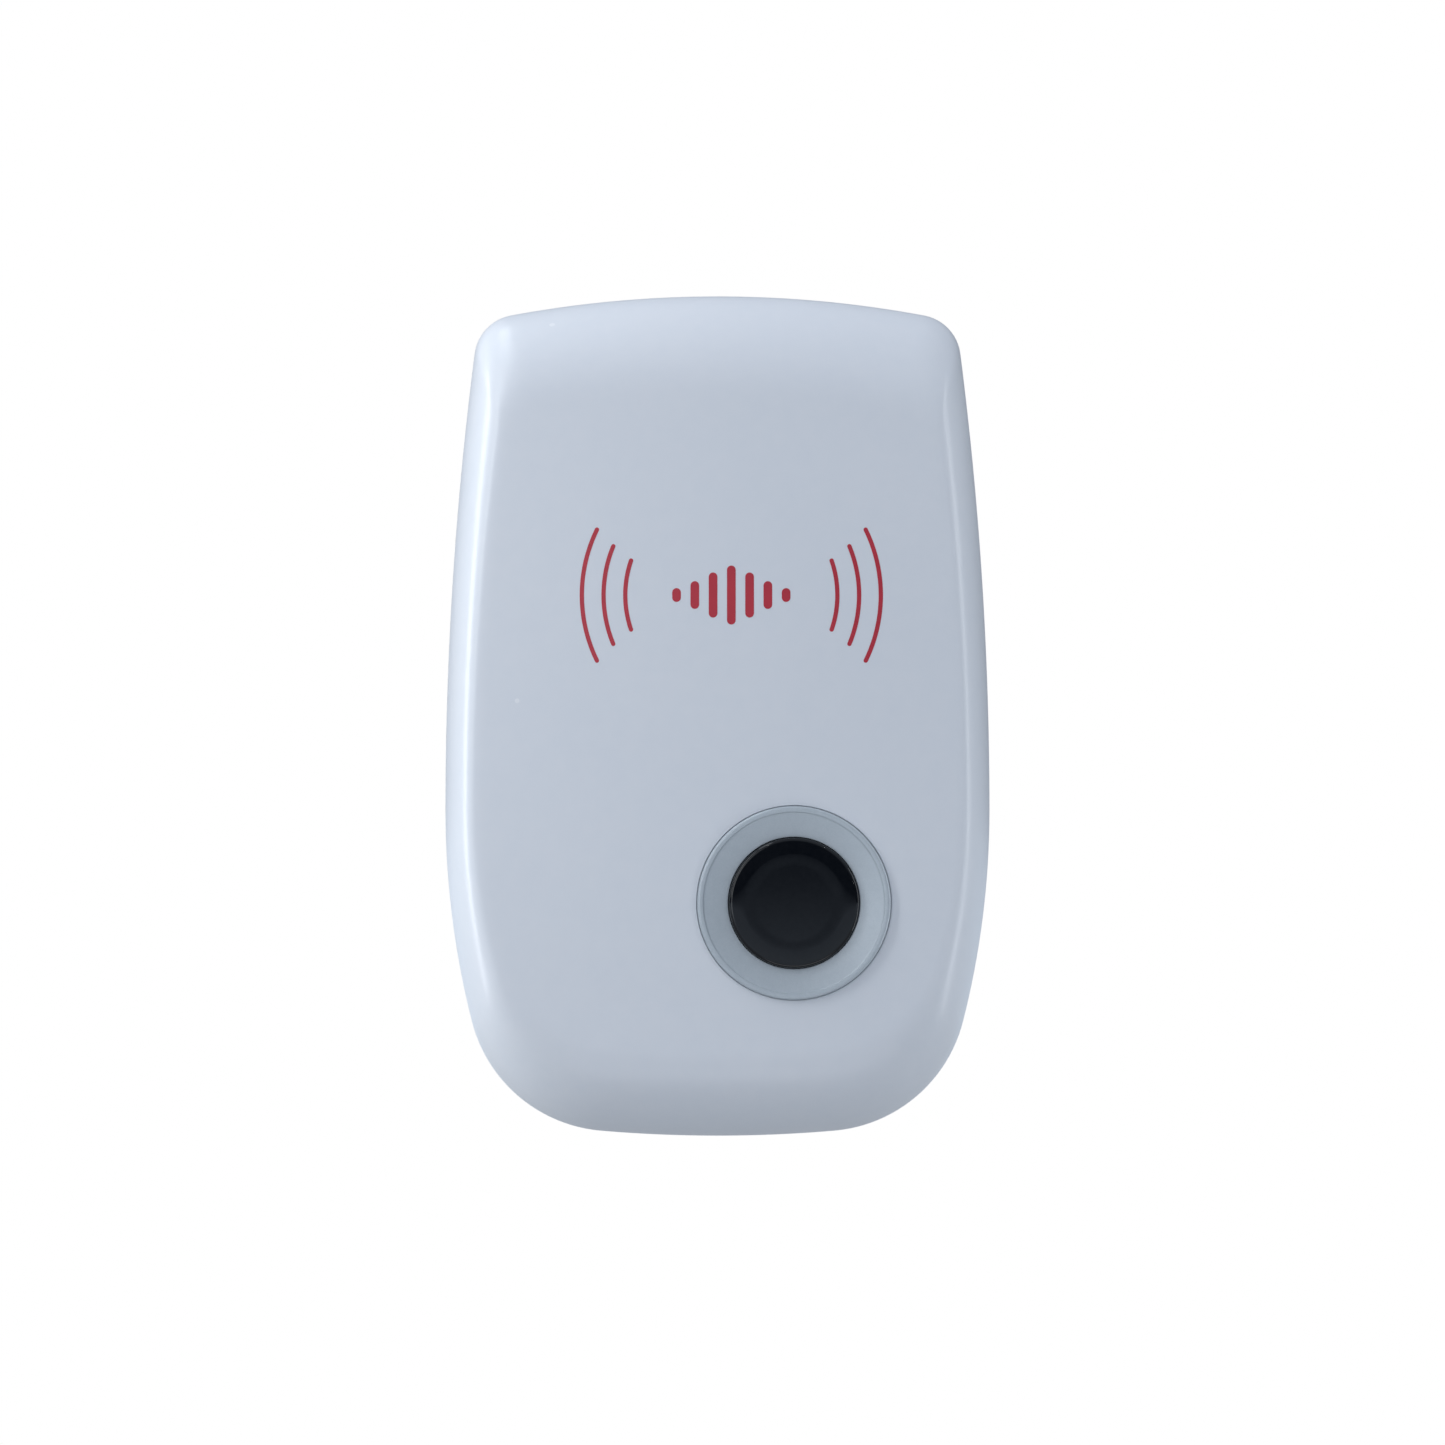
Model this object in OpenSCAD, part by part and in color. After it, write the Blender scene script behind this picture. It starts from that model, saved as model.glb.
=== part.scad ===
// Plug-in ultrasonic pest repeller. A white two-part moulded case stands on a two-pin mains
// plug. A glossy push button in a silver ring works the switch, and a small ultrasonic
// transducer sounds through slots in the foot of the case.
//
// The origin is on the plug face, midway between the pins. +X is to the right seen from the
// front, +Y runs into the wall socket and +Z is up. Every piece is drawn lying on its back
// (x to the right, y up the case from its lowest point, z out of the flat back towards the
// front), and bench() stands it up in that frame.

/* [Case outline] */
// Width of the case at its widest
body_w = 63.5; // [60:0.1:77]
// Height of the case
body_h = 98; // [94:0.1:118]
// Height of the widest place above the foot
widest_y = 38; // [32:0.5:44]
// Radius of the flanks below the widest place
flank_r = 100; // [80:1:140]
// Radius of the sides above the widest place
side_r = 420; // [330:5:520]
// Radius of the foot
foot_r = 160; // [110:5:240]
// Radius of the two lower corners
foot_corner_r = 17; // [13:0.5:20]
// Radius of the crown along the top
top_r = 132; // [100:2:200]
// Radius of the two upper corners
top_corner_r = 5.2; // [4:0.1:8]

/* [Case shells] */
// Depth of the rear cover from the flat back to the parting line
rear_depth = 12; // [11:0.5:16]
// Depth of the front cover from the parting line to the crown of the face
front_depth = 15; // [14:0.5:20]
// Wall thickness of both covers
wall = 2; // [1.6:0.1:2.6]
// Radius of the round edge of the back
back_round = 3; // [1:0.25:3.5]
// Straight stretch of the front cover's side before it rolls over
side_straight = 1.5; // [0.5:0.25:4]
// Run of the round edge over the sides of the face
side_run = 4; // [3:0.25:6]
// Run of the round edge over the top of the face
top_run = 12; // [8:0.5:14]
// Run of the round edge over the foot of the face
foot_run = 10; // [7:0.5:12]
// Radius of the slight crown across the face
face_cross_r = 450; // [300:10:900]
// Radius of the slight crown up the face
face_long_r = 700; // [500:10:1200]
// Height of the tongue that locates the front cover in the rear one
tongue_h = 1.4; // [1:0.1:2]
// Clearance round the tongue
tongue_fit = 0.1; // [0.05:0.05:0.2]

/* [Plug] */
// Height of the pins above the foot of the case
plug_y = 56; // [50:0.5:58]
// Distance between the pins
pin_spacing = 19; // [17.5:0.5:19.5]
// Diameter of the bare pins
pin_d = 4; // [3.8:0.1:4.8]
// Length of the pins past the plug face
pin_length = 19; // [17:0.5:20]
// Diameter of the pins under their insulating sleeves
pin_root_d = 2.9; // [2.6:0.1:3]
// Diameter of the insulating sleeves
sleeve_d = 3.6; // [3.4:0.1:3.8]
// Length of the insulating sleeves past the plug face
sleeve_length = 10; // [8:0.5:11]
// Diameter of the round boss that carries the plug
boss_d = 36.5; // [35:0.5:44]
// Depth of the boss
boss_depth = 17; // [12:0.5:22]
// Thickness of the plate that holds the pins
plate_t = 3.5; // [2.5:0.25:5]
// Clearance round the plate and round the pins in it
plate_fit = 0.05; // [0.02:0.01:0.1]
// Width of the rating label
label_w = 31; // [20:1:33]
// Height of the rating label
label_h = 20; // [12:1:24]

/* [Button] */
// Place of the button to the right of the middle
button_x = 8.8; // [4:0.2:10]
// Height of the button above the foot
button_y = 27.5; // [26:0.5:30]
// Diameter of the button cap
button_d = 15; // [12:0.25:17]
// Height of the button cap above the ring, at rest
button_proud = 0.6; // [0.4:0.1:1.6]
// Travel of the button
button_travel = 1.6; // [1:0.1:1.6]
// Running clearance between cap and ring
button_fit = 0.08; // [0.04:0.01:0.1]
// Depth of the shallow finger rest in the cap
rest_depth = 0.05; // [0.03:0.01:0.3]
// Outer diameter of the ring
ring_d = 22.3; // [21.5:0.1:25]
// Height of the ring above the face
ring_proud = 0.5; // [0.3:0.1:1]
// Clearance round the ring in its seat
ring_fit = 0.12; // [0.08:0.02:0.3]
// Length of the ring's guide tube below its seat
guide_length = 4.6; // [4:0.1:5]
// Wall of the guide tube
guide_wall = 1.6; // [1.2:0.1:1.8]

/* [Sound outlet] */
// Number of slots in the foot
slot_count = 5; // [3:2:7]
// Width of each slot
slot_w = 2; // [1.5:0.1:2.4]
// Distance from slot to slot
slot_pitch = 3.6; // [3.4:0.1:3.8]
// Diameter of the transducer's can
can_d = 16.2; // [13:0.1:17]
// Length of the transducer's can
can_length = 11; // [10:0.5:12]
// Wall of the can
can_wall = 0.5; // [0.4:0.1:0.8]
// Thickness of the rubber grommet round the can
grommet_t = 1.3; // [1:0.1:1.6]

/* [Fasteners] */
// Thread diameter of the case screws
case_screw_d = 2.6; // [2.2:0.1:3]
// Diameter of the posts round the case screws
post_d = 6; // [5.6:0.1:6.6]
// Thread diameter of the board screws
board_screw_d = 2; // [1.8:0.1:2.4]
// Clearance of a screw in the hole that it passes through or cuts into
screw_fit = 0.05; // [0.02:0.01:0.1]

/* [Circuit board] */
// Thickness of the board
board_t = 1.6; // [1:0.1:1.6]
// Space behind the board for leads and mains wires
board_gap = 7.4; // [6.5:0.1:8]
// Clearance between the board and the posts above and below it
board_edge_fit = 1; // [0.5:0.1:1.5]
// Diameter of the component leads
lead_d = 0.6; // [0.5:0.05:0.7]
// Length of the leads past the back of the board
lead_tail = 1.6; // [1:0.1:2]
// Diameter of the lead holes
hole_d = 0.9; // [0.8:0.05:1.1]

/* [Hidden] */

round_fn = 48;
past = 1;                     // how far a cut runs past the face it opens

// Levels of the case
face_z = rear_depth + front_depth;
crown_y = widest_y + 3;       // height at which the crowned face stands furthest forward
shoulder_z = rear_depth + side_straight;
tongue_t = wall / 2;          // the outer half of the wall is the rim, the inner half the tongue
turns = [0:15:90];            // steps of the round edge
face_shares = [0.7, 0.35];    // rings that carry the crown in to the middle of the face
middle = [0, body_h / 2];

// Plug body: a round boss outside the back, and a neck that snaps into the back
boss_wall = 2;
boss_ledge = 1.75;            // shoulder inside the boss that the plate seats on
boss_edge_r = 1;
boss_bore_r = boss_d / 2 - boss_wall - boss_ledge;
neck_r = boss_d / 2 - 1.25;
neck_fit = 0.05;
neck_barb_r = neck_r + 0.4;
neck_end_z = wall + 1.2;
neck_slot_w = 4;
plate_z = -boss_depth + plate_t;
collar_r = pin_d / 2 + 0.8;
collar_t = 1.5;
tail_z = plate_z + 5.5;
pin_nose_r = 0.9;
sleeve_fit = 0.02;
sleeve_seat = 2;              // depth that the sleeves reach into the plate

// Rating label, between the foot and the boss
label_t = 0.15;
label_recess = 0.25;
label_fit = 0.3;
label_y = (5 + plug_y - boss_d / 2) / 2;

// Screws: two near the upper corners and two near the lower ones
screw_x_top = body_w / 2 - 10.25;
screw_x_foot = body_w / 2 - 11.25;
screw_y_top = body_h - 19;
screw_y_foot = 17.5;
screw_spots = [[-screw_x_top, screw_y_top], [screw_x_top, screw_y_top],
    [-screw_x_foot, screw_y_foot], [screw_x_foot, screw_y_foot]];
head_d = 1.8 * case_screw_d;
head_h = 0.6 * case_screw_d;
head_room = 0.3;              // clearance round a screw head
head_seat_z = 7;              // the screw heads sit this deep in the posts
screw_grip = 8;               // length of thread in the front cover
recess_w = 0.5;               // width of the cross recess in every screw head

// Board and the posts that carry it, between the lower and the upper case screws
board_z = wall + board_gap;
board_top = board_z + board_t;
board_x = body_w / 2 - 6.75;
board_y0 = screw_y_foot + post_d / 2 + board_edge_fit;
board_y1 = screw_y_top - post_d / 2 - board_edge_fit;
board_mid_y = (board_y0 + board_y1) / 2;
post_inset = 3.5;
rest_post_d = 5;
board_screw_spots = [[post_inset - board_x, board_y0 + post_inset],
    [board_x - post_inset, board_y1 - post_inset]];
rest_spots = [[board_x - post_inset, board_y0 + post_inset],
    [post_inset - board_x, board_y1 - post_inset]];
board_head_d = 3.8;
board_head_h = 1.4;
board_screw_length = 6;

// Ring and button, stacked along z over the button's centre
button_spot = [button_x, button_y];
ring_seat_z = crown(button_spot) - 0.9;
ring_top_z = crown(button_spot) + ring_proud;
ring_rim_w = 0.7;
ring_rim_r = 0.35;
ring_drop = 0.18;             // the ring's face lies this far below its rim
ring_bore_r = button_d / 2 + button_fit;
guide_r = ring_bore_r + guide_wall;
guide_end_z = ring_seat_z - guide_length;
cover_hole_r = guide_r + 0.2;
barb_h = 0.8;
barb_r = cover_hole_r + 0.3;
seat_pad_z = guide_end_z + barb_h + 0.1;
seat_pad_r = cover_hole_r + 2.5;
finger_slot_w = 1.5;
finger_slot_h = 2.2;
cap_top_z = ring_top_z + button_proud;
cap_edge_r = 0.4;
cap_wall = 1.4;
cap_flange_t = 1;
cap_flange_r = guide_r - 0.4;
cap_flange_z = guide_end_z - 0.05;
cap_foot_z = cap_flange_z - cap_flange_t;
rest_r = button_d / 2 - 1.9;
rest_slope_w = 1.2;           // width of the gentle slope round the finger rest

// Push switch under the button
switch_w = 8.5;
switch_wall = 1;
switch_fit = 0.1;
switch_h = cap_foot_z - button_travel - 0.6 - board_top;
switch_leads = [for (x = [-2.5, 2.5]) for (y = [-2.5, 0, 2.5]) button_spot + [x, y]];
stem_w = 3.2;
stem_end_z = cap_flange_z + 2.5;
stem_gap = 0.02;              // end gap between the plunger and its socket in the cap
socket_wall = 1.2;
foot_w = 5.6;
foot_t = 1.2;
chamber_top = board_top + switch_h - switch_wall;
foot_top = chamber_top - 0.05;
spring_z = board_top + switch_wall;
spring_top = foot_top - foot_t;
spring_r = 1.9;
spring_wire = 0.36;
spring_turns = 3.5;
spring_gap = 0.05;            // end gap of the spring, above and below

// Components: places on the board, then sizes
mains_cap_c = [11 - board_x, board_y1 - 6];
fuse_c = [board_x - 14, board_y1 - 4];
bleed_c = [11 - board_x, board_y1 - 12];
diode_spots = [for (i = [0:3]) [board_x - 12, board_y1 - 9 - 3.8 * i]];
smoothing_c = [8 - board_x, board_mid_y - 1];
filter_c = [6 - board_x, board_y0 + 15];
coil_c = [-3.5, board_mid_y + 1];
chip_c = [-6.5, board_y0 + 11];
transistor_c = [5, board_mid_y - 1];
bias_spots = [for (i = [0:2]) [board_x - 6 - 3 * i, board_mid_y - 5]];
led_c = button_spot + [0, switch_w / 2 + 2.2];
stand_off = 0.2;              // gap between a component's body and the board
mains_cap_foot = [13, 6];     // length and width
mains_cap_corner = mains_cap_c + [-mains_cap_foot[0], mains_cap_foot[1]] / 2;
mains_cap_room = 0.6;         // least gap under the cover, and then the next lower half millimetre
mains_cap_h = floor(2 * (crown(mains_cap_corner) - wall - mains_cap_room - board_top - stand_off)) / 2;
mains_cap_span = 10;          // spans are the distances between a component's two leads
fuse_size = [13, 3.4, 9];     // lead span, body diameter, body length
bleed_size = [10, 2.3, 6.3];
diode_size = [9, 2.7, 5];
bias_size = [9, 1.9, 4];
smoothing_size = [3.5, 8, 11.5]; // lead span, can diameter, can height
filter_size = [2.5, 6.3, 9];
coil_d = 8.4;
coil_h = 8;
coil_waist_d = 4;
coil_rim_t = 1.4;
coil_span = 5;
chip_size = [6.4, 9.8, 3.3];
chip_leg_x = 3.81;
chip_pitch = 2.54;
chip_leg_w = 0.5;
transistor_d = 4.6;
transistor_flat = 1.2;        // distance of the flat side from the middle
transistor_pitch = 1.6;
led_d = 3;
led_rim_d = 3.6;
led_h = 4.5;
led_span = 2.5;
chip_leads = [for (x = [-chip_leg_x, chip_leg_x]) for (i = [0:3]) chip_c + [x, (i - 1.5) * chip_pitch]];
transistor_leads = [for (i = [-1:1]) transistor_c + [transistor_pitch * i, 0]];
component_leads = concat(switch_leads, chip_leads, transistor_leads,
    lead_pair(mains_cap_c, mains_cap_span), lead_pair(fuse_c, fuse_size[0]),
    lead_pair(bleed_c, bleed_size[0]), joined([for (c = diode_spots) lead_pair(c, diode_size[0])]),
    lead_pair(smoothing_c, smoothing_size[0]), lead_pair(filter_c, filter_size[0], 90),
    lead_pair(coil_c, coil_span, 90), joined([for (c = bias_spots) lead_pair(c, bias_size[0], 90)]),
    lead_pair(led_c, led_span));

// Transducer: its axis runs straight down, through the slots
can_r = can_d / 2;
can_bore_r = can_r - can_wall;
can_lip_r = can_bore_r - 1.2;
grommet_r = can_r + grommet_t;
grommet_h = 4.4;
can_z = wall + grommet_r + 0.5;
can_y = wall + 3;
can_back_y = can_y + can_length;
cradle_y = can_y + 3;
cradle_t = 2.4;
cradle_wall = 2;
mesh_t = 0.3;
mesh_hole_d = 1.6;
mesh_pitch = 0.38 * can_bore_r;
base_t = 2.4;
support_h = 2.6;              // the ring on the base that holds the piezo disc
support_r = 3.5;
disc_d = 10.5;
disc_t = 0.8;
disc_y = can_back_y - base_t - support_h;
cone_h = 2.6;
cone_r = 4.5;
terminal_gap = 5;
terminal_y = can_back_y + 3;
slot_z0 = back_round + 0.4;
slot_z1 = rear_depth - tongue_h - 1;

// Wires held inside the case: points along their middles, from the tail of the pin or
// terminal, then to the pad on the board
mains_wire_d = 1.8;
signal_wire_d = 1;
mains_start = [[0, 0, 0], [0, 0, 4], [0.2, 0.6, 7], [0.9, 2.5, 11]];
mains_end = [[-1.4, -4, -2.8], [-0.3, -0.9, -2.4], [0, 0, -1.2], [0, 0, 0]];
mains_pad = [board_x - 10.5, plug_y + 11.5];
signal_start = [[0, 0, 0], [0, 1.2, 0]];
signal_end = [[-0.3, -3.2, 1.7], [-0.1, -1.7, 2.4], [0, -0.4, 1.8], [0, 0, 0.8], [0, 0, 0]];
signal_pad = [terminal_gap / 2 + 0.5, terminal_y + 6];

// The case outline: tangent arcs on each side, from the middle of the foot to the top
foot_c = [0, foot_r];
flank_c = [body_w / 2 - flank_r, widest_y];
side_c = [body_w / 2 - side_r, widest_y];
top_c = [0, body_h - top_r];
foot_corner_c = meet(foot_c, foot_r - foot_corner_r, flank_c, flank_r - foot_corner_r);
top_corner_c = meet(side_c, side_r - top_corner_r, top_c, top_r - top_corner_r);
foot_end = bearing(foot_c, foot_corner_c);
flank_start = bearing(flank_c, foot_corner_c);
side_end = bearing(side_c, top_corner_c);
top_start = bearing(top_c, top_corner_c);

// Where two circles meet, on the left of the line from the first centre to the second
function meet(a, ra, b, rb) =
    let (gap = norm(b - a), u = (b - a) / gap, along = (gap * gap + ra * ra - rb * rb) / (2 * gap))
    a + along * u + sqrt(ra * ra - along * along) * [-u[1], u[0]];

// Direction from one point to another, in degrees
function bearing(a, b) = atan2(b[1] - a[1], b[0] - a[0]);

// Steps along an arc, without its last point
function arc(c, r, a0, a1, steps) =
    [for (i = [0:steps - 1]) let (a = a0 + (a1 - a0) * i / steps) c + r * [cos(a), sin(a)]];

// Right-hand half of the outline, moved inwards by inset
function half_outline(inset) = concat(
    arc(foot_c, foot_r - inset, -90, foot_end, 3),
    arc(foot_corner_c, foot_corner_r - inset, foot_end, flank_start, 9),
    arc(flank_c, flank_r - inset, flank_start, 0, 4),
    arc(side_c, side_r - inset, 0, side_end, 4),
    arc(top_corner_c, top_corner_r - inset, side_end, top_start, 7),
    arc(top_c, top_r - inset, top_start, 90, 3));

// Whole outline, moved inwards by inset
function outline(inset) =
    let (half = half_outline(inset), last = len(half) - 1)
    concat(half, [[0, body_h - inset]], [for (i = [last:-1:1]) [-half[i][0], half[i][1]]]);

// Where the round edge of the face ends and the slightly crowned face begins
function face_edge() =
    let (squeeze = 1 - 2 * side_run / body_w, rise = 1 - (foot_run + top_run) / body_h)
    [for (p = outline(0)) [p[0] * squeeze, foot_run + p[1] * rise]];

// Height of the crowned face
function crown(p) = face_z - pow(p[0], 2) / (2 * face_cross_r) - pow(p[1] - crown_y, 2) / (2 * face_long_r);

// A level ring of the case wall
function level(inset, z) = [for (p = outline(inset)) [p[0], p[1], z]];

// A ring of the round edge: turn is 0 at the side wall and 90 at the face
function rolled(inset, turn) =
    let (from = outline(inset), to = face_edge())
    [for (i = [0:len(from) - 1])
        let (p = from[i] + (to[i] - from[i]) * (1 - cos(turn)))
        [p[0], p[1], shoulder_z + (crown(p) - inset - shoulder_z) * sin(turn)]];

// A ring of the face, shrunk towards its middle
function shrunk(inset, share) =
    [for (p = face_edge())
        let (q = [p[0] * share, p[1] * share + (1 - share) * body_h / 2])
        [q[0], q[1], crown(q) - inset]];

function joined(lists) = [for (list = lists) each list];
function reversed(list) = [for (i = [len(list) - 1:-1:0]) list[i]];
function unit(v) = v / norm(v);
function shifted(points, by) = [for (p = points) p + by];

// Two lead spots about a component's centre, along x or turned
function lead_pair(c, span, turn = 0) = [for (s = [-1, 1]) c + s * span / 2 * [cos(turn), sin(turn)]];

// A closed skin over rings of equal length, with a point at each end
module skin(start, rings, end) {
    n = len(rings[0]);
    last = len(rings) * n;
    points = concat([start], joined(rings), [end]);
    fan_start = [for (i = [0:n - 1]) [0, 1 + (i + 1) % n, 1 + i]];
    bands = [for (j = [0:len(rings) - 2]) for (i = [0:n - 1])
        let (a = 1 + j * n + i, b = 1 + j * n + (i + 1) % n)
        each [[a, b, b + n], [a, b + n, a + n]]];
    fan_end = [for (i = [0:n - 1]) [last + 1, last + 1 - n + i, last + 1 - n + (i + 1) % n]];
    polyhedron(points, concat(fan_start, bands, fan_end));
}

// A round wire along a route that never runs straight along x
module wire(route, d) {
    last = len(route) - 1;
    sides = 8;
    rings = [for (i = [0:last])
        let (t = unit(i == 0 ? route[1] - route[0] : i == last ? route[last] - route[last - 1]
                : route[i + 1] - route[i - 1]),
            u = unit(cross([1, 0, 0], t)), v = cross(t, u))
        [for (k = [0:sides - 1]) let (a = 360 * k / sides) route[i] + d / 2 * (cos(a) * u + sin(a) * v)]];
    skin(route[last], reversed(rings), route[0]);
}

// Stands a piece up, out of the bench frame into the object's own
module bench() translate([0, -boss_depth, -plug_y]) rotate([90, 0, 0]) children();

module at(p, z = 0) translate([p[0], p[1], z]) children();

// A straight round bar between two heights
module rod(d, z0, z1) translate([0, 0, z0]) cylinder(d = d, h = z1 - z0, $fn = round_fn);

// A square block between two heights
module block(w, z0, z1) translate([-w / 2, -w / 2, z0]) cube([w, w, z1 - z0]);

// Turns a piece so that its z runs up the case, about the transducer's axis
module along_y(y) translate([0, y, can_z]) rotate([-90, 0, 0]) children();

// ---- Case ----

module front_cover() color("#dde2ec") bench() difference() {
    union() {
        front_shell();
        for (p = screw_spots) at(p) rod(post_d, rear_depth, crown(p) - wall / 2);
        at(button_spot) rod(2 * seat_pad_r, seat_pad_z, ring_seat_z - 0.2);
    }
    for (p = screw_spots)
        at(p) rod(case_screw_d + 2 * screw_fit, rear_depth - past, rear_depth + screw_grip + 1);
    at(button_spot) rod(2 * cover_hole_r, seat_pad_z - past, face_z + past);
    at(button_spot) rod(ring_d + 2 * ring_fit, ring_seat_z, face_z + past);
}

// The front shell: face, round edge, side wall, rim and tongue, then back up the inside
module front_shell() skin(
    [middle[0], middle[1], crown(middle)],
    concat(
        [for (s = reversed(face_shares)) shrunk(0, s)],
        [for (t = reversed([for (t = turns) t])) rolled(0, t)],
        [level(0, rear_depth), level(tongue_t + tongue_fit, rear_depth)],
        [level(tongue_t + tongue_fit, rear_depth - tongue_h), level(wall, rear_depth - tongue_h)],
        [for (t = turns) rolled(wall, t)],
        [for (s = face_shares) shrunk(wall, s)]),
    [middle[0], middle[1], crown(middle) - wall]);

module rear_cover() color("#d6dbe5") bench() difference() {
    union() {
        rear_shell();
        for (p = screw_spots) at(p) rod(post_d, wall / 2, rear_depth);
        for (p = concat(board_screw_spots, rest_spots)) at(p) rod(rest_post_d, wall / 2, board_z);
        cradle();
    }
    for (p = screw_spots) at(p) {
        rod(case_screw_d + 2 * screw_fit, -past, rear_depth + past);
        rod(head_d + 2 * head_room, -past, head_seat_z);
    }
    for (p = board_screw_spots)
        at(p) rod(board_screw_d + 2 * screw_fit, board_top - board_screw_length - 0.4, board_z + past);
    at([0, plug_y]) rod(2 * (neck_r + neck_fit), -past, wall + past);
    sound_slots();
    translate([-label_w / 2 - label_fit, label_y - label_h / 2 - label_fit, -past])
        cube([label_w + 2 * label_fit, label_h + 2 * label_fit, past + label_recess]);
}

// The rear shell: floor, inner wall, groove for the tongue, rim, side wall and round edge
module rear_shell() skin(
    [middle[0], middle[1], wall],
    concat(
        [level(wall, wall), level(wall, rear_depth - tongue_h - tongue_fit)],
        [level(tongue_t, rear_depth - tongue_h - tongue_fit), level(tongue_t, rear_depth)],
        [level(0, rear_depth)],
        [for (a = [0:22.5:90]) level(back_round * (1 - cos(a)), back_round * (1 - sin(a)))]),
    [middle[0], middle[1], 0]);

// The forked seat that the transducer's grommet snaps into
module cradle() difference() {
    translate([-grommet_r - cradle_wall, cradle_y, wall / 2])
        cube([2 * (grommet_r + cradle_wall), cradle_t, can_z + 2 - wall / 2]);
    along_y(cradle_y - past) rod(2 * grommet_r + 0.1, 0, cradle_t + 2 * past);
}

module sound_slots() for (i = [0:slot_count - 1])
    translate([(i - (slot_count - 1) / 2) * slot_pitch - slot_w / 2, -past, slot_z0])
        cube([slot_w, wall + 2 * past, slot_z1 - slot_z0]);

module rating_label() color("#c9ccd1") bench()
    translate([-label_w / 2, label_y - label_h / 2, label_recess - label_t])
        cube([label_w, label_h, label_t]);

// A screw pointing along +z, with its cross-recessed head under z = 0
module screw(d, head, head_t, length) difference() {
    union() {
        rod(head, -head_t, 0);
        rod(d, -head_t / 2, length);
    }
    for (turn = [0, 90]) rotate(turn)
        translate([-head / 3, -recess_w / 2, -head_t - past])
            cube([2 * head / 3, recess_w, past + 0.6 * head_t]);
}

module case_screws() color("#b9bcc2") bench() for (p = screw_spots)
    at(p, head_seat_z) screw(case_screw_d, head_d, head_h, rear_depth + screw_grip - head_seat_z);

// ---- Plug ----

// The round body that carries the plug plate, with its free edge rounded; its neck is
// split into fingers whose barb catches behind the back
module plug_body() color("#d6dbe5") bench() at([0, plug_y]) difference() {
    rotate_extrude($fn = round_fn) polygon(concat(
        [[0, -boss_depth]],
        [for (a = [-90:30:0])
            [boss_d / 2 - boss_edge_r * (1 - cos(a)), boss_edge_r * (1 + sin(a)) - boss_depth]],
        [[boss_d / 2, 0], [neck_r, 0], [neck_r, wall + neck_fit], [neck_barb_r, wall + neck_fit]],
        [[neck_barb_r, wall + 0.5], [neck_r, neck_end_z], [0, neck_end_z]]));
    rod(2 * boss_bore_r, plate_z - past, neck_end_z + past);
    rod(boss_d - 2 * boss_wall, -boss_depth - past, plate_z);
    for (turn = [0, 60, 120]) rotate(turn)
        translate([-neck_barb_r - past, -neck_slot_w / 2, 0.4])
            cube([2 * (neck_barb_r + past), neck_slot_w, neck_end_z + past]);
}

module plug_plate() color("#cfd3db") bench() at([0, plug_y]) difference() {
    rod(boss_d - 2 * boss_wall - 2 * plate_fit, -boss_depth, plate_z);
    for (side = [-1, 1]) at([side * pin_spacing / 2, 0]) {
        rod(pin_root_d + 2 * plate_fit, -boss_depth - past, plate_z + past);
        rod(sleeve_d + 2 * plate_fit, -boss_depth - past, sleeve_seat - boss_depth);
    }
}

// A pin: round-nosed bare end, reduced root under the sleeve, collar and solder tail behind
module plug_pin(side) color("#d2c8a0") bench() at([side * pin_spacing / 2, plug_y]) {
    tip = -boss_depth - pin_length;
    root = -boss_depth - sleeve_length;
    rotate_extrude($fn = round_fn) polygon(concat(
        [[0, tip]],
        [for (a = [-90:22.5:0]) [pin_d / 2 - pin_nose_r * (1 - cos(a)), tip + pin_nose_r * (1 + sin(a))]],
        [[pin_d / 2, root], [pin_root_d / 2, root], [pin_root_d / 2, plate_z], [collar_r, plate_z]],
        [[collar_r, plate_z + collar_t], [mains_wire_d / 2, plate_z + collar_t]],
        [[mains_wire_d / 2, tail_z], [0, tail_z]]));
}

module pin_sleeve(side) color("#3a3d42") bench() at([side * pin_spacing / 2, plug_y]) difference() {
    rod(sleeve_d, sleeve_fit - boss_depth - sleeve_length, sleeve_seat - boss_depth);
    rod(pin_root_d + 2 * sleeve_fit, -boss_depth - sleeve_length - past, sleeve_seat + past - boss_depth);
}

module plug_pin_left() plug_pin(-1);
module plug_pin_right() plug_pin(1);
module pin_sleeve_left() pin_sleeve(-1);
module pin_sleeve_right() pin_sleeve(1);

// ---- Button and switch ----

// The ring, its guide tube, and the barb that snaps behind the cover, split into fingers
module bezel_ring() color("#9ba5ad") bench() at(button_spot) difference() {
    union() {
        rotate_extrude($fn = round_fn) ring_profile();
        rod(2 * guide_r, guide_end_z, ring_seat_z + 0.2);
        rotate_extrude($fn = round_fn) barb_profile();
    }
    rod(2 * ring_bore_r, guide_end_z - past, ring_top_z + past);
    for (turn = [45, 135]) rotate(turn)
        translate([-barb_r - past, -finger_slot_w / 2, guide_end_z - past])
            cube([2 * (barb_r + past), finger_slot_w, past + finger_slot_h]);
}

// Half the ring's section: a flat face inside a raised, rounded rim
module ring_profile() polygon(concat(
    [[ring_bore_r - 0.5, ring_seat_z], [ring_d / 2, ring_seat_z]],
    [for (a = [0:30:90])
        [ring_d / 2 - ring_rim_r * (1 - cos(a)), ring_top_z - ring_rim_r * (1 - sin(a))]],
    [[ring_d / 2 - ring_rim_w, ring_top_z - ring_drop], [ring_bore_r - 0.5, ring_top_z - ring_drop]]));

module barb_profile() translate([0, guide_end_z]) polygon([[guide_r - 0.5, 0], [guide_r, 0],
    [barb_r, barb_h / 2], [barb_r, barb_h], [guide_r - 0.5, barb_h]]);

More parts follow.
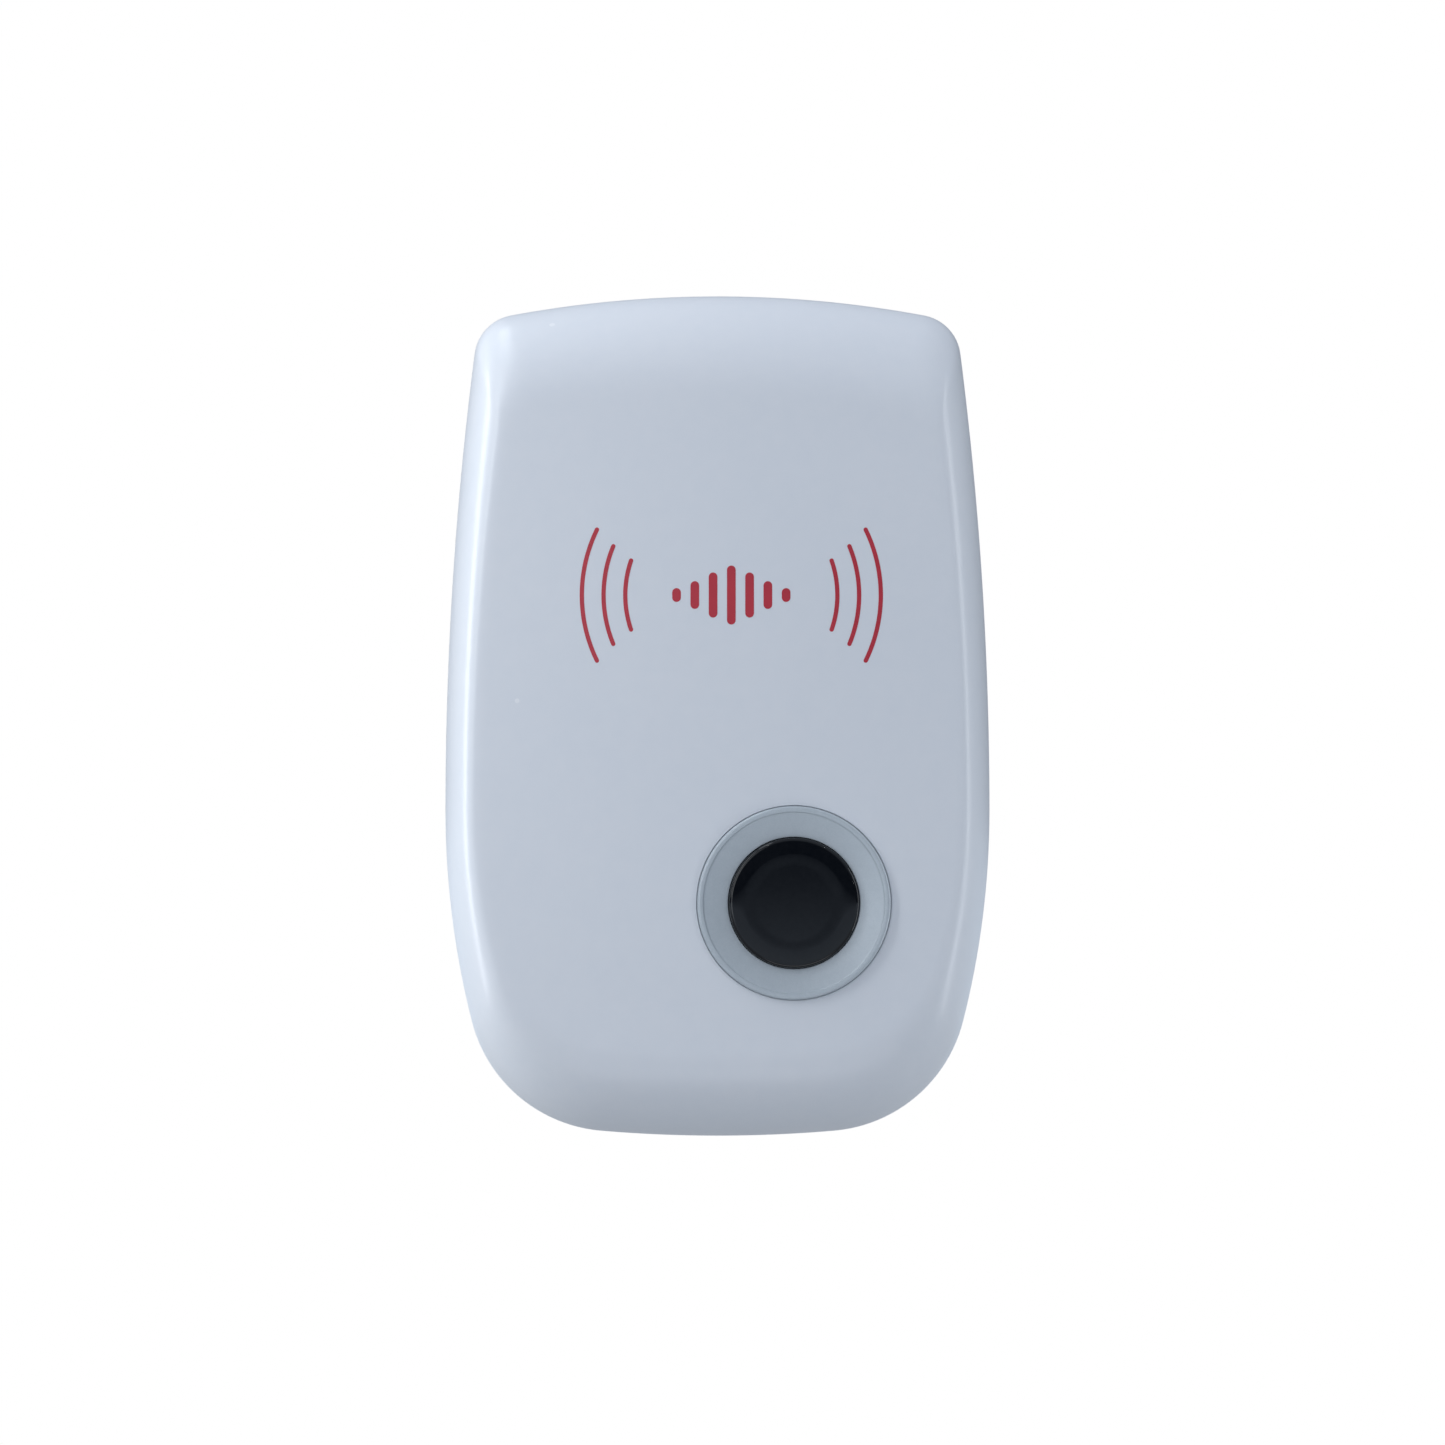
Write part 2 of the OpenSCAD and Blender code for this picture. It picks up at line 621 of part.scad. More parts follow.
// The cap: a cup with a flange that keeps it behind the ring, and a square socket inside
module button_cap() color("#0b0d10") bench() at(button_spot) difference() {
    union() {
        rotate_extrude($fn = round_fn) cap_profile();
        rod(2 * cap_flange_r, cap_foot_z, cap_flange_z);
    }
    difference() {
        rod(button_d - 2 * cap_wall, cap_foot_z - past, cap_top_z - rest_depth - cap_wall);
        block(stem_w + 2 * (switch_fit + socket_wall), cap_foot_z, cap_top_z);
    }
    block(stem_w + 2 * switch_fit, cap_foot_z - past, stem_end_z + stem_gap);
}

// Half the cap's section: a rounded edge, and a flat finger rest a little below the top
module cap_profile() polygon(concat(
    [[0, cap_foot_z], [button_d / 2, cap_foot_z]],
    [for (a = [0:22.5:90])
        [button_d / 2 - cap_edge_r * (1 - cos(a)), cap_top_z - cap_edge_r * (1 - sin(a))]],
    [[rest_r, cap_top_z], [rest_r - rest_slope_w, cap_top_z - rest_depth], [0, cap_top_z - rest_depth]]));

module switch_plunger() color("#e8e6df") bench() at(button_spot) {
    block(foot_w, foot_top - foot_t, foot_top);
    block(stem_w, foot_top - foot_t, stem_end_z);
}

// The return spring, between the floor of the switch and the plunger's foot
module switch_spring() color("#c4c8ce") bench() at(button_spot) {
    steps = 14;
    count = spring_turns * steps;
    sides = 6;
    low = spring_z + spring_wire / 2 + spring_gap;
    climb = spring_top - spring_z - spring_wire - 2 * spring_gap;
    rings = [for (i = [0:count])
        let (a = 360 * i / steps, out = [cos(a), sin(a), 0])
        let (mid = spring_r * out + [0, 0, low + climb * i / count])
        [for (k = [0:sides - 1])
            let (b = 360 * k / sides)
            mid + spring_wire / 2 * (cos(b) * out + [0, 0, sin(b)])]];
    skin((rings[0][0] + rings[0][3]) / 2, rings, (rings[count][0] + rings[count][3]) / 2);
}

module switch_housing() color("#2b2d31") bench() at(button_spot) difference() {
    block(switch_w, board_top, board_top + switch_h);
    block(foot_w + 2 * switch_fit, board_top + switch_wall, chamber_top);
    block(stem_w + 2 * switch_fit, chamber_top - past, board_top + switch_h + past);
}

module switch_terminals() color("#d9dbdf") bench()
    for (p = switch_leads) at(p) rod(lead_d, board_z - lead_tail, board_top);

// ---- Circuit board and its components ----

module circuit_board() color("#2f6b3a") bench() difference() {
    translate([-board_x, board_y0, board_z]) cube([2 * board_x, board_y1 - board_y0, board_t]);
    for (p = component_leads) at(p) rod(hole_d, board_z - past, board_top + past);
    for (p = board_screw_spots) at(p) rod(board_screw_d + 0.4, board_z - past, board_top + past);
}

module board_screws() color("#b9bcc2") bench() for (p = board_screw_spots)
    at(p, board_top) mirror([0, 0, 1]) screw(board_screw_d, board_head_d, board_head_h, board_screw_length);

// Straight leads from inside a body down through the board
module leads(spots, top = board_top + 1) for (p = spots) at(p) rod(lead_d, board_z - lead_tail, top);

// A part with a lead at each end, lying above the board; size is span, diameter and length
module axial(c, size, turn = 0) {
    axis_z = board_top + size[1] / 2 + stand_off;
    at(c, axis_z) rotate([0, 0, turn]) rotate([0, 90, 0]) {
        rod(size[1], -size[2] / 2, size[2] / 2);
        rod(lead_d, -size[0] / 2, size[0] / 2);
    }
    for (p = lead_pair(c, size[0], turn)) {
        at(p) rod(lead_d, board_z - lead_tail, axis_z);
        at(p, axis_z) sphere(d = lead_d, $fn = round_fn);
    }
}

// A can capacitor with a pressed groove near its foot; size is span, diameter and height
module can_capacitor(c, size, turn = 0) {
    r = size[1] / 2;
    h = size[2];
    at(c, board_top) rotate_extrude($fn = round_fn) polygon([[0, stand_off], [r - 0.4, stand_off],
        [r, 0.6], [r, 1.6], [r - 0.35, 2], [r, 2.4], [r, h - 0.5], [r - 0.5, h], [0, h]]);
    leads(lead_pair(c, size[0], turn));
}

module mains_capacitor() color("#d8b43a") bench() {
    at(mains_cap_c - mains_cap_foot / 2, board_top + stand_off)
        cube([mains_cap_foot[0], mains_cap_foot[1], mains_cap_h]);
    leads(lead_pair(mains_cap_c, mains_cap_span));
}

module fuse_resistor() color("#7fa08c") bench() axial(fuse_c, fuse_size);
module bleed_resistor() color("#c8a878") bench() axial(bleed_c, bleed_size);
module rectifier_diodes() color("#26282b") bench() for (c = diode_spots) axial(c, diode_size);
module bias_resistors() color("#7fa3c4") bench() for (c = bias_spots) axial(c, bias_size, 90);
module smoothing_capacitor() color("#23304f") bench() can_capacitor(smoothing_c, smoothing_size);
module filter_capacitor() color("#2a2a2e") bench() can_capacitor(filter_c, filter_size, 90);

// The drum core: two rims on a waist
module coil_core() color("#3b3c3f") bench() {
    at(coil_c, board_top + stand_off) {
        rod(coil_d, 0, coil_rim_t);
        rod(coil_waist_d, coil_rim_t / 2, coil_h - coil_rim_t / 2);
        rod(coil_d, coil_h - coil_rim_t, coil_h);
    }
    leads(lead_pair(coil_c, coil_span, 90));
}

module coil_winding() color("#b5651d") bench() at(coil_c, board_top + stand_off) difference() {
    rod(coil_d - 0.8, coil_rim_t + 0.05, coil_h - coil_rim_t - 0.05);
    rod(coil_waist_d + 0.1, 0, coil_h);
}

module controller_chip() color("#1d1e21") bench() {
    body_z = board_top + 0.5;
    at(chip_c, body_z) difference() {
        translate([-chip_size[0] / 2, -chip_size[1] / 2, 0]) cube(chip_size);
        at([0, chip_size[1] / 2]) rod(1.8, chip_size[2] - 0.6, chip_size[2] + past);
    }
    for (p = chip_leads) {
        side = sign(p[0] - chip_c[0]);
        at(p) block(chip_leg_w, board_z - lead_tail, body_z + 1.9);
        at(p, body_z + 1.4) translate([side < 0 ? 0 : -1, -0.4, 0]) cube([1, 0.8, chip_leg_w]);
    }
}

// A small transistor: round at the back, flat in front
module driver_transistor() color("#1f2022") bench() {
    at(transistor_c, board_top + 2) difference() {
        rod(transistor_d, 0, transistor_d);
        translate([-transistor_d, -transistor_flat - transistor_d, -past])
            cube([2 * transistor_d, transistor_d, transistor_d + 2 * past]);
    }
    leads(transistor_leads, board_top + 2.5);
}

module indicator_led() color("#d8423c") bench() {
    dome_z = led_h - led_d / 2;
    at(led_c, board_top + stand_off) rotate_extrude($fn = round_fn) polygon(concat(
        [[0, 0], [led_rim_d / 2, 0], [led_rim_d / 2, 0.8], [led_d / 2, 0.8]],
        [for (a = [0:22.5:90]) [led_d / 2 * cos(a), dome_z + led_d / 2 * sin(a)]]));
    leads(lead_pair(led_c, led_span));
}

// ---- Transducer ----

module transducer_case() color("#b7bac0") bench() along_y(can_y) difference() {
    rod(can_d, 0, can_length);
    rod(2 * can_bore_r, can_wall, can_length + past);
    rod(2 * can_lip_r, -past, can_wall + past);
}

// The mesh behind the can's lip, with a hole in the middle and two rings of holes
module transducer_mesh() color("#8f9399") bench() along_y(can_y + can_wall) difference() {
    rod(2 * can_bore_r - 0.1, 0, mesh_t);
    rod(mesh_hole_d, -past, past);
    for (ring = [1, 2], i = [0:6 * ring - 1])
        rotate(60 * i / ring) at([mesh_pitch * ring, 0]) rod(mesh_hole_d, -past, past);
}

module transducer_cone() color("#c9ccd2") bench() along_y(disc_y - cone_h) difference() {
    rotate_extrude($fn = round_fn) polygon([[0, cone_h], [0, cone_h - 0.8], [0.9, cone_h - 0.8],
        [cone_r - 0.4, 0], [cone_r, 0], [1.4, cone_h]]);
    rod(0.6, cone_h - 1.2, cone_h + past);
}

module transducer_disc() color("#cdbf8a") bench() along_y(disc_y) rod(disc_d, 0, disc_t);

module transducer_base() color("#4a3b2c") bench() along_y(can_back_y - base_t) {
    rod(2 * can_bore_r - 0.1, 0, base_t);
    difference() {
        rod(2 * support_r, disc_t - support_h, 0.5);
        rod(2 * support_r - 2, disc_t - support_h - past, 1);
    }
    for (side = [-1, 1])
        at([side * terminal_gap / 2, 0]) rod(signal_wire_d, 1, terminal_y - can_back_y + base_t);
}

module transducer_grommet() color("#2a2b2d") bench()
    along_y(cradle_y + (cradle_t - grommet_h) / 2) difference() {
        rod(2 * grommet_r, 0, grommet_h);
        rod(can_d, -past, grommet_h + past);
    }

// ---- Wires ----

// A route's points, mirrored to one side
function sided(points, side) = [for (p = points) [side * p[0], p[1], p[2]]];

module mains_wire(side) bench() wire(sided(concat(
    shifted(mains_start, [pin_spacing / 2, plug_y, tail_z]),
    shifted(mains_end, [mains_pad[0], mains_pad[1], board_z])), side), mains_wire_d);

module transducer_wire(side) bench() wire(sided(concat(
    shifted(signal_start, [terminal_gap / 2, terminal_y, can_z]),
    shifted(signal_end, [signal_pad[0], signal_pad[1], board_top])), side), signal_wire_d);

module mains_wire_live() color("#7a4a2a") mains_wire(1);
module mains_wire_neutral() color("#2f5fa8") mains_wire(-1);
module transducer_wire_a() color("#c23b3b") transducer_wire(-1);
module transducer_wire_b() color("#26282b") transducer_wire(1);

front_cover();
rear_cover();
plug_body();
plug_plate();
plug_pin_left();
plug_pin_right();
pin_sleeve_left();
pin_sleeve_right();
rating_label();
case_screws();
bezel_ring();
button_cap();
switch_plunger();
switch_spring();
switch_housing();
switch_terminals();
circuit_board();
board_screws();
mains_capacitor();
fuse_resistor();
bleed_resistor();
rectifier_diodes();
smoothing_capacitor();
filter_capacitor();
coil_core();
coil_winding();
controller_chip();
driver_transistor();
bias_resistors();
indicator_led();
transducer_case();
transducer_mesh();
transducer_cone();
transducer_disc();
transducer_base();
transducer_grommet();
mains_wire_live();
mains_wire_neutral();
transducer_wire_a();
transducer_wire_b();
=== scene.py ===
# %% [markdown]
# # A plug-in pest repeller
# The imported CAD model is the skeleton: it says where each piece is and what moves with what.
# This lesson builds the visible skin of every piece around it, in metres and in the same
# frame, and gives each one a finish made from shader nodes.

# %% Load the frame
import math

import bmesh
import bpy
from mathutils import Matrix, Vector


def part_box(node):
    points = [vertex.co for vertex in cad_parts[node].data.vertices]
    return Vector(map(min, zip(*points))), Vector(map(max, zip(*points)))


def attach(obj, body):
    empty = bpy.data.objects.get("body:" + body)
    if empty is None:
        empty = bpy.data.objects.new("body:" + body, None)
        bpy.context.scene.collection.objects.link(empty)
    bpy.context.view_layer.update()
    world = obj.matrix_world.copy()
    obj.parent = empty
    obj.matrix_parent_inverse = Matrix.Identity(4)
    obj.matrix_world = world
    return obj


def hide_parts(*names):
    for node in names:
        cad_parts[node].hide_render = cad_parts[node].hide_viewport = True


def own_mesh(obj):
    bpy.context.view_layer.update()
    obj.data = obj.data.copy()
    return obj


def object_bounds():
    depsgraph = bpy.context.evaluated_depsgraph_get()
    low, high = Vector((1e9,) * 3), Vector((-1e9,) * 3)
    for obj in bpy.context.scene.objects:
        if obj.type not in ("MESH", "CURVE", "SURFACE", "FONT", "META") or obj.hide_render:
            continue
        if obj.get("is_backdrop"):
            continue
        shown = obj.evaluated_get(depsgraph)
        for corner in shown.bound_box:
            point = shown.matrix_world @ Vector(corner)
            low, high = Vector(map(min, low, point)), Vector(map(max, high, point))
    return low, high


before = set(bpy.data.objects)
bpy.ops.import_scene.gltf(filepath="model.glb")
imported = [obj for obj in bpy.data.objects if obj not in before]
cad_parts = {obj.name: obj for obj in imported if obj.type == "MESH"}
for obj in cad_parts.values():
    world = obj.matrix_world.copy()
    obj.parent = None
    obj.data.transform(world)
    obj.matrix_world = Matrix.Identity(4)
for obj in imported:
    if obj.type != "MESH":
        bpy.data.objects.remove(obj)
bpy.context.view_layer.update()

# %% [markdown]
# ## The bench frame
# The case is easiest to think of lying on its back on a bench: x to the right, y up the case
# from its foot, z out of the flat back towards the front, all in millimetres. One function
# stands such a point up in the model's own frame. Its two offsets are read from the CAD.

# %% From the bench to the model
MM = 0.001
back_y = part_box("rear_cover")[1].y
foot_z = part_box("rear_cover")[0].z


def stand(x, y, z):
    return Vector((x * MM, back_y - z * MM, foot_z + y * MM))


def lie(corner):
    """The other way round: a point of the model, in bench millimetres."""
    return Vector((corner.x / MM, (corner.z - foot_z) / MM, (back_y - corner.y) / MM))


def corners(node):
    """A CAD node's lowest and highest corner, in bench millimetres."""
    a, b = (lie(corner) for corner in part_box(node))
    return Vector((a.x, a.y, b.z)), Vector((b.x, b.y, a.z))


def middle(node):
    a, b = corners(node)
    return (a + b) / 2


case_w = 2 * corners("rear_cover")[1].x
case_h = corners("front_cover")[1].y
print("the case is", round(case_w, 2), "by", round(case_h, 2), "mm")

# %% [markdown]
# ## Camera
# A long lens held well back gives a flat, front-on look. The lens looks straight along +Y, a
# touch right of the middle and a touch below it.

# %% Place the camera
LENS, SENSOR = 180, 36
FIELD = 0.1691                    # width of the view at the case's outline
view_middle = stand(0.585, case_h / 2 - 0.76, 12)
lens_data = bpy.data.cameras.new("camera")
lens_data.lens, lens_data.sensor_width = LENS, SENSOR
camera = bpy.data.objects.new("camera", lens_data)
bpy.context.scene.collection.objects.link(camera)
camera.location = view_middle - Vector((0, FIELD * LENS / SENSOR, 0))
camera.rotation_euler = (math.pi / 2, 0, 0)
bpy.context.scene.camera = camera
bpy.context.scene.view_settings.view_transform = "Standard"
print("the camera stands", round(FIELD * LENS / SENSOR, 3), "m in front")

# %% [markdown]
# ## A small helper for nodes
# Node trees get long when every socket takes a line. This helper adds one node, sets its
# options, and either links or sets each input, so a tree reads like a recipe.

# %% Add a node in one line


def add(tree, kind, inputs=(), **options):
    made = tree.nodes.new("ShaderNode" + kind)
    for key, value in options.items():
        setattr(made, key, value)
    for key, value in dict(inputs).items():
        if isinstance(value, bpy.types.NodeSocket):
            tree.links.new(value, made.inputs[key])
        else:
            made.inputs[key].default_value = value
    return made


# %% [markdown]
# ## Studio
# The case stands against plain white, so the camera itself sees a white world. Every
# other ray meets a room: pale and cool above, a little warmer and darker below, with a dark
# band just above the horizon. A polished black cap shows that band as a dark upper half.

# %% The room around the case
world = bpy.data.worlds.new("studio")
bpy.context.scene.world = world
world.use_nodes = True
room = world.node_tree
room.nodes.clear()
way = add(room, "TexCoord").outputs["Generated"]
height = add(room, "SeparateXYZ", {"Vector": way}).outputs["Z"]
shades = add(room, "ValToRGB", {"Fac": add(room, "MapRange", {"Value": height, "From Min": -1}).outputs[0]})
ramp = shades.color_ramp
SKY = [(0.0, (0.34, 0.37, 0.41)), (0.36, (0.44, 0.47, 0.52)), (0.46, (0.62, 0.72, 0.84)),
       (0.4878, (0.50, 0.58, 0.70)), (0.4886, (0.030, 0.040, 0.060)), (0.58, (0.05, 0.06, 0.08)),
       (0.70, (0.36, 0.40, 0.47)), (1.0, (0.54, 0.58, 0.66))]
while len(ramp.elements) < len(SKY):
    ramp.elements.new(0.5)
for stop, (spot, shade) in zip(ramp.elements, SKY):
    stop.position, stop.color = spot, (*shade, 1)
seen = add(room, "LightPath").outputs["Is Camera Ray"]
around = add(room, "Background", {"Color": shades.outputs[0], "Strength": 1.0})
plain = add(room, "Background", {"Color": (1, 1, 1, 1), "Strength": 1.0})
mixed = add(room, "MixShader", {0: seen, 1: around.outputs[0], 2: plain.outputs[0]})
room.links.new(mixed.outputs[0], add(room, "OutputWorld").inputs["Surface"])

# %% [markdown]
# ## Lights
# A tall strip on the left, level with the back of the case, lights only what turns away from
# the camera, so it draws one bright line down the left edge. A weaker strip does the same on
# the right, and a softbox overhead lifts the top. A big dim panel in front fills the face, a
# narrow window shapes its left side, and a low panel keeps the foot from going dark.

# %% Hang the lights


def softbox(name, spot, size, power, colour):
    data = bpy.data.lights.new(name, "AREA")
    data.shape, data.size, data.size_y = "RECTANGLE", *size
    data.energy, data.color = power, colour
    lamp = bpy.data.objects.new(name, data)
    bpy.context.scene.collection.objects.link(lamp)
    lamp.location = spot
    lamp.rotation_euler = (view_middle - lamp.location).to_track_quat("-Z", "Y").to_euler()
    return lamp


softbox("strip_left", (-0.50, 0.03, 0.04), (0.12, 0.50), 1.3, (0.95, 0.98, 1.0))
softbox("strip_right", (0.55, -0.02, 0.00), (0.15, 0.60), 0.95, (0.93, 0.97, 1.0))
softbox("window_left", (-0.34, -0.30, 0.18), (0.10, 0.40), 0.55, (0.94, 0.97, 1.0))
softbox("overhead", (-0.28, 0.00, 0.58), (0.60, 0.16), 0.95, (0.90, 0.96, 1.0))
softbox("front_fill", (-0.26, -0.85, 0.06), (0.34, 0.34), 0.85, (0.92, 0.95, 1.0))
softbox("low_front", (0.06, -0.50, -0.46), (0.50, 0.24), 0.55, (0.92, 0.95, 1.0))

# %% [markdown]
# Three bare bulbs, tiny and far off, hardly light anything. They are there for the sparks that
# show in the rounded edge of the black cap.

# %% Hang the bulbs
BULB_R, BULB_POWER, BULB_REACH = 0.012, 0.05, 0.8
for number, (round_turn, lean) in enumerate(((115, 52), (58, 52), (14, 40))):
    data = bpy.data.lights.new("bulb", "AREA")
    data.shape, data.size, data.energy = "DISK", 2 * BULB_R, BULB_POWER
    bulb = bpy.data.objects.new(f"bulb_{number}", data)
    bpy.context.scene.collection.objects.link(bulb)
    around, out = math.radians(round_turn), math.radians(lean)
    bulb.location = view_middle + BULB_REACH * Vector((math.sin(out) * math.cos(around), -math.cos(out),
                                                       math.sin(out) * math.sin(around)))
    bulb.rotation_euler = (view_middle - bulb.location).to_track_quat("-Z", "Y").to_euler()

# %% [markdown]
# ## Floor
# A plain pale disc well below the case catches a soft shadow in the views from above. It
# stops short of what the front view sees.

# %% Lay the floor
FLOOR_R, FLOOR_Z = 0.40, -0.14
floor_mesh = bpy.data.meshes.new("floor")
rim = [(FLOOR_R * math.cos(math.tau * i / 96), FLOOR_R * math.sin(math.tau * i / 96), FLOOR_Z)
       for i in range(96)]
floor_mesh.from_pydata(rim, [], [range(96)])
floor = bpy.data.objects.new("floor", floor_mesh)
bpy.context.scene.collection.objects.link(floor)
paper = bpy.data.materials.new("floor_paper")
paper.use_nodes = True
paper.node_tree.nodes["Principled BSDF"].inputs["Base Color"].default_value = (0.93, 0.935, 0.94, 1)
paper.node_tree.nodes["Principled BSDF"].inputs["Roughness"].default_value = 0.8
floor_mesh.materials.append(paper)
floor.visible_diffuse = floor.visible_glossy = False     # it catches a shadow and sends no light up
floor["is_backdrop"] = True

# %% [markdown]
# ## Shared effects
# Real surfaces are never one flat value. A few effects come back on nearly every piece, so
# each is built once as a node group: it takes sizes and strengths, and gives back colours,
# masks or heights. The shader itself stays in each material.

# %% Start a group
FLOAT, COLOUR = "NodeSocketFloat", "NodeSocketColor"


def new_group(name, takes, gives):
    tree = bpy.data.node_groups.new(name, "ShaderNodeTree")
    for label, kind, value in takes:
        socket = tree.interface.new_socket(label, in_out="INPUT", socket_type=kind)
        socket.default_value = value
    for label, kind in gives:
        tree.interface.new_socket(label, in_out="OUTPUT", socket_type=kind)
    return tree, tree.nodes.new("NodeGroupInput").outputs, tree.nodes.new("NodeGroupOutput").inputs


def maths(tree, operation, a, b=0.0, clamp=False):
    return add(tree, "Math", {0: a, 1: b}, operation=operation, use_clamp=clamp).outputs[0]


# %% [markdown]
# ### Colour drift
# Moulded plastic, plating and lacquer all drift a little in shade from place to place. Noise
# at two sizes mixes the base colour with a second shade.

# %% Colour drift
drift, takes, gives = new_group(
    "colour_drift",
    [("Colour", COLOUR, (0.8, 0.8, 0.8, 1)), ("Shade", COLOUR, (0.7, 0.7, 0.7, 1)),
     ("Scale", FLOAT, 60), ("Amount", FLOAT, 0.5)],
    [("Colour", COLOUR)])
spot = add(drift, "TexCoord").outputs["Object"]
broad = add(drift, "TexNoise", {"Vector": spot, "Scale": takes["Scale"], "Detail": 2})
fine = add(drift, "TexNoise", {"Vector": spot, "Scale": maths(drift, "MULTIPLY", takes["Scale"], 9),
                               "Detail": 2})
both = maths(drift, "MULTIPLY", maths(drift, "ADD", broad.outputs[0], fine.outputs[0]), 0.5)
share = maths(drift, "MULTIPLY",
              add(drift, "MapRange", {"Value": both, "From Min": 0.35, "From Max": 0.65}).outputs[0],
              takes["Amount"])
mix = add(drift, "Mix", {"Factor": share}, data_type="RGBA")
drift.links.new(takes["Colour"], mix.inputs[6])
drift.links.new(takes["Shade"], mix.inputs[7])
drift.links.new(mix.outputs[2], gives["Colour"])

# %% [markdown]
# ### Moulded grain
# The steel of a mould leaves a faint texture in the plastic. It is a height only, so the same
# group serves glossy skins with a low bump and matt ones with a higher one.

# %% Moulded grain
grain, takes, gives = new_group(
    "moulded_grain", [("Scale", FLOAT, 3000), ("Waviness", FLOAT, 0.3)], [("Height", FLOAT)])
spot = add(grain, "TexCoord").outputs["Object"]
pits = add(grain, "TexNoise", {"Vector": spot, "Scale": takes["Scale"], "Detail": 3, "Roughness": 0.6})
waves = add(grain, "TexNoise", {"Vector": spot, "Scale": maths(grain, "MULTIPLY", takes["Scale"], 0.06),
                                "Detail": 1})
total = maths(grain, "ADD", pits.outputs[0], maths(grain, "MULTIPLY", waves.outputs[0], takes["Waviness"]))
grain.links.new(total, gives["Height"])

# %% [markdown]
# ### Handling
# Fingers leave soft patches where the gloss changes. The group gives a roughness that wanders
# about its base value, with finer streaks inside the patches.

# %% Handling marks
handling, takes, gives = new_group(
    "handling", [("Roughness", FLOAT, 0.3), ("Change", FLOAT, 0.1), ("Scale", FLOAT, 90)],
    [("Roughness", FLOAT)])
spot = add(handling, "TexCoord").outputs["Object"]
patch = add(handling, "TexNoise", {"Vector": spot, "Scale": takes["Scale"], "Detail": 5, "Distortion": 0.6})
swing = maths(handling, "MULTIPLY", maths(handling, "SUBTRACT", patch.outputs[0], 0.5), takes["Change"])
handling.links.new(maths(handling, "ADD", takes["Roughness"], swing), gives["Roughness"])

# %% [markdown]
# ### Dust
# A few pale specks sit on any white case. Voronoi cells give scattered points, and a random
# number in each cell keeps only some of them.

# %% Dust specks
dust, takes, gives = new_group(
    "dust", [("Scale", FLOAT, 300), ("Share", FLOAT, 0.05), ("Size", FLOAT, 0.12)], [("Mask", FLOAT)])
spot = add(dust, "TexCoord").outputs["Object"]
cells = add(dust, "TexVoronoi", {"Vector": spot, "Scale": takes["Scale"]})
near = maths(dust, "LESS_THAN", cells.outputs["Distance"], takes["Size"])
draw = add(dust, "SeparateColor", {"Color": cells.outputs["Color"]}).outputs[0]
dust.links.new(maths(dust, "MULTIPLY", near, maths(dust, "LESS_THAN", draw, takes["Share"])), gives["Mask"])

# %% [markdown]
# ### Drawn lines
# Turned, drawn or rubbed metal has fine lines along one direction. Noise that is squeezed
# along two axes and stretched along the third gives them.

# %% Drawn lines
lines, takes, gives = new_group(
    "drawn_lines",
    [("Across X", FLOAT, 4000), ("Across Y", FLOAT, 4000), ("Across Z", FLOAT, 4000)],
    [("Value", FLOAT)])
spot = add(lines, "TexCoord").outputs["Object"]
squeeze = add(lines, "CombineXYZ", {0: takes["Across X"], 1: takes["Across Y"], 2: takes["Across Z"]})
pulled = add(lines, "VectorMath", {0: spot, 1: squeeze.outputs[0]}, operation="MULTIPLY")
streaks = add(lines, "TexNoise", {"Vector": pulled.outputs[0], "Scale": 1, "Detail": 4})
lines.links.new(streaks.outputs[0], gives["Value"])

# %% [markdown]
# ### Colour bands
# Resistors and diodes carry painted rings. Given the place along the body, the group says
# which ring a point is in, and whether it is in one at all.

# %% Bands round a body
bands, takes, gives = new_group(
    "bands", [("Place", FLOAT, 0), ("First", FLOAT, 0), ("Pitch", FLOAT, 0.001),
              ("Width", FLOAT, 0.5), ("Count", FLOAT, 4)], [("Mask", FLOAT), ("Ring", FLOAT)])
along = maths(bands, "DIVIDE", maths(bands, "SUBTRACT", takes["Place"], takes["First"]), takes["Pitch"])
ring = maths(bands, "FLOOR", along)
inside = maths(bands, "LESS_THAN", maths(bands, "SUBTRACT", along, ring), takes["Width"])
started = maths(bands, "GREATER_THAN", along, 0.0)
unfinished = maths(bands, "LESS_THAN", along, takes["Count"])
bands.links.new(maths(bands, "MULTIPLY", inside, maths(bands, "MULTIPLY", started, unfinished)),
                gives["Mask"])
bands.links.new(maths(bands, "DIVIDE", ring, takes["Count"]), gives["Ring"])
print("shared effects:", ", ".join(group.name for group in bpy.data.node_groups))

# %% [markdown]
# ## Two families of finish
# Nearly all pieces are either plastic, rubber and lacquer, or bare metal. One function makes
# each family. It places the shared groups with this finish's own values and keeps the
# constant values on the shader's sockets.

# %% Use a group in a material


def use(tree, group, values):
    made = tree.nodes.new("ShaderNodeGroup")
    made.node_tree = group
    for key, value in values.items():
        if isinstance(value, bpy.types.NodeSocket):
            tree.links.new(value, made.inputs[key])
        else:
            made.inputs[key].default_value = value
    return made.outputs


def start_material(name, **fixed):
    made = bpy.data.materials.new(name)
    made.use_nodes = True
    tree = made.node_tree
    shader = tree.nodes["Principled BSDF"]
    for key, value in fixed.items():
        shader.inputs[key.replace("_", " ")].default_value = value
    return made, tree, shader


# %% Colour, gloss and relief of one material


def tint(tree, shader, colour, shade, scale):
    base = use(tree, drift, {"Colour": (*colour, 1), "Shade": (*shade, 1), "Scale": scale, "Amount": 1.0})
    tree.links.new(base["Colour"], shader.inputs["Base Color"])


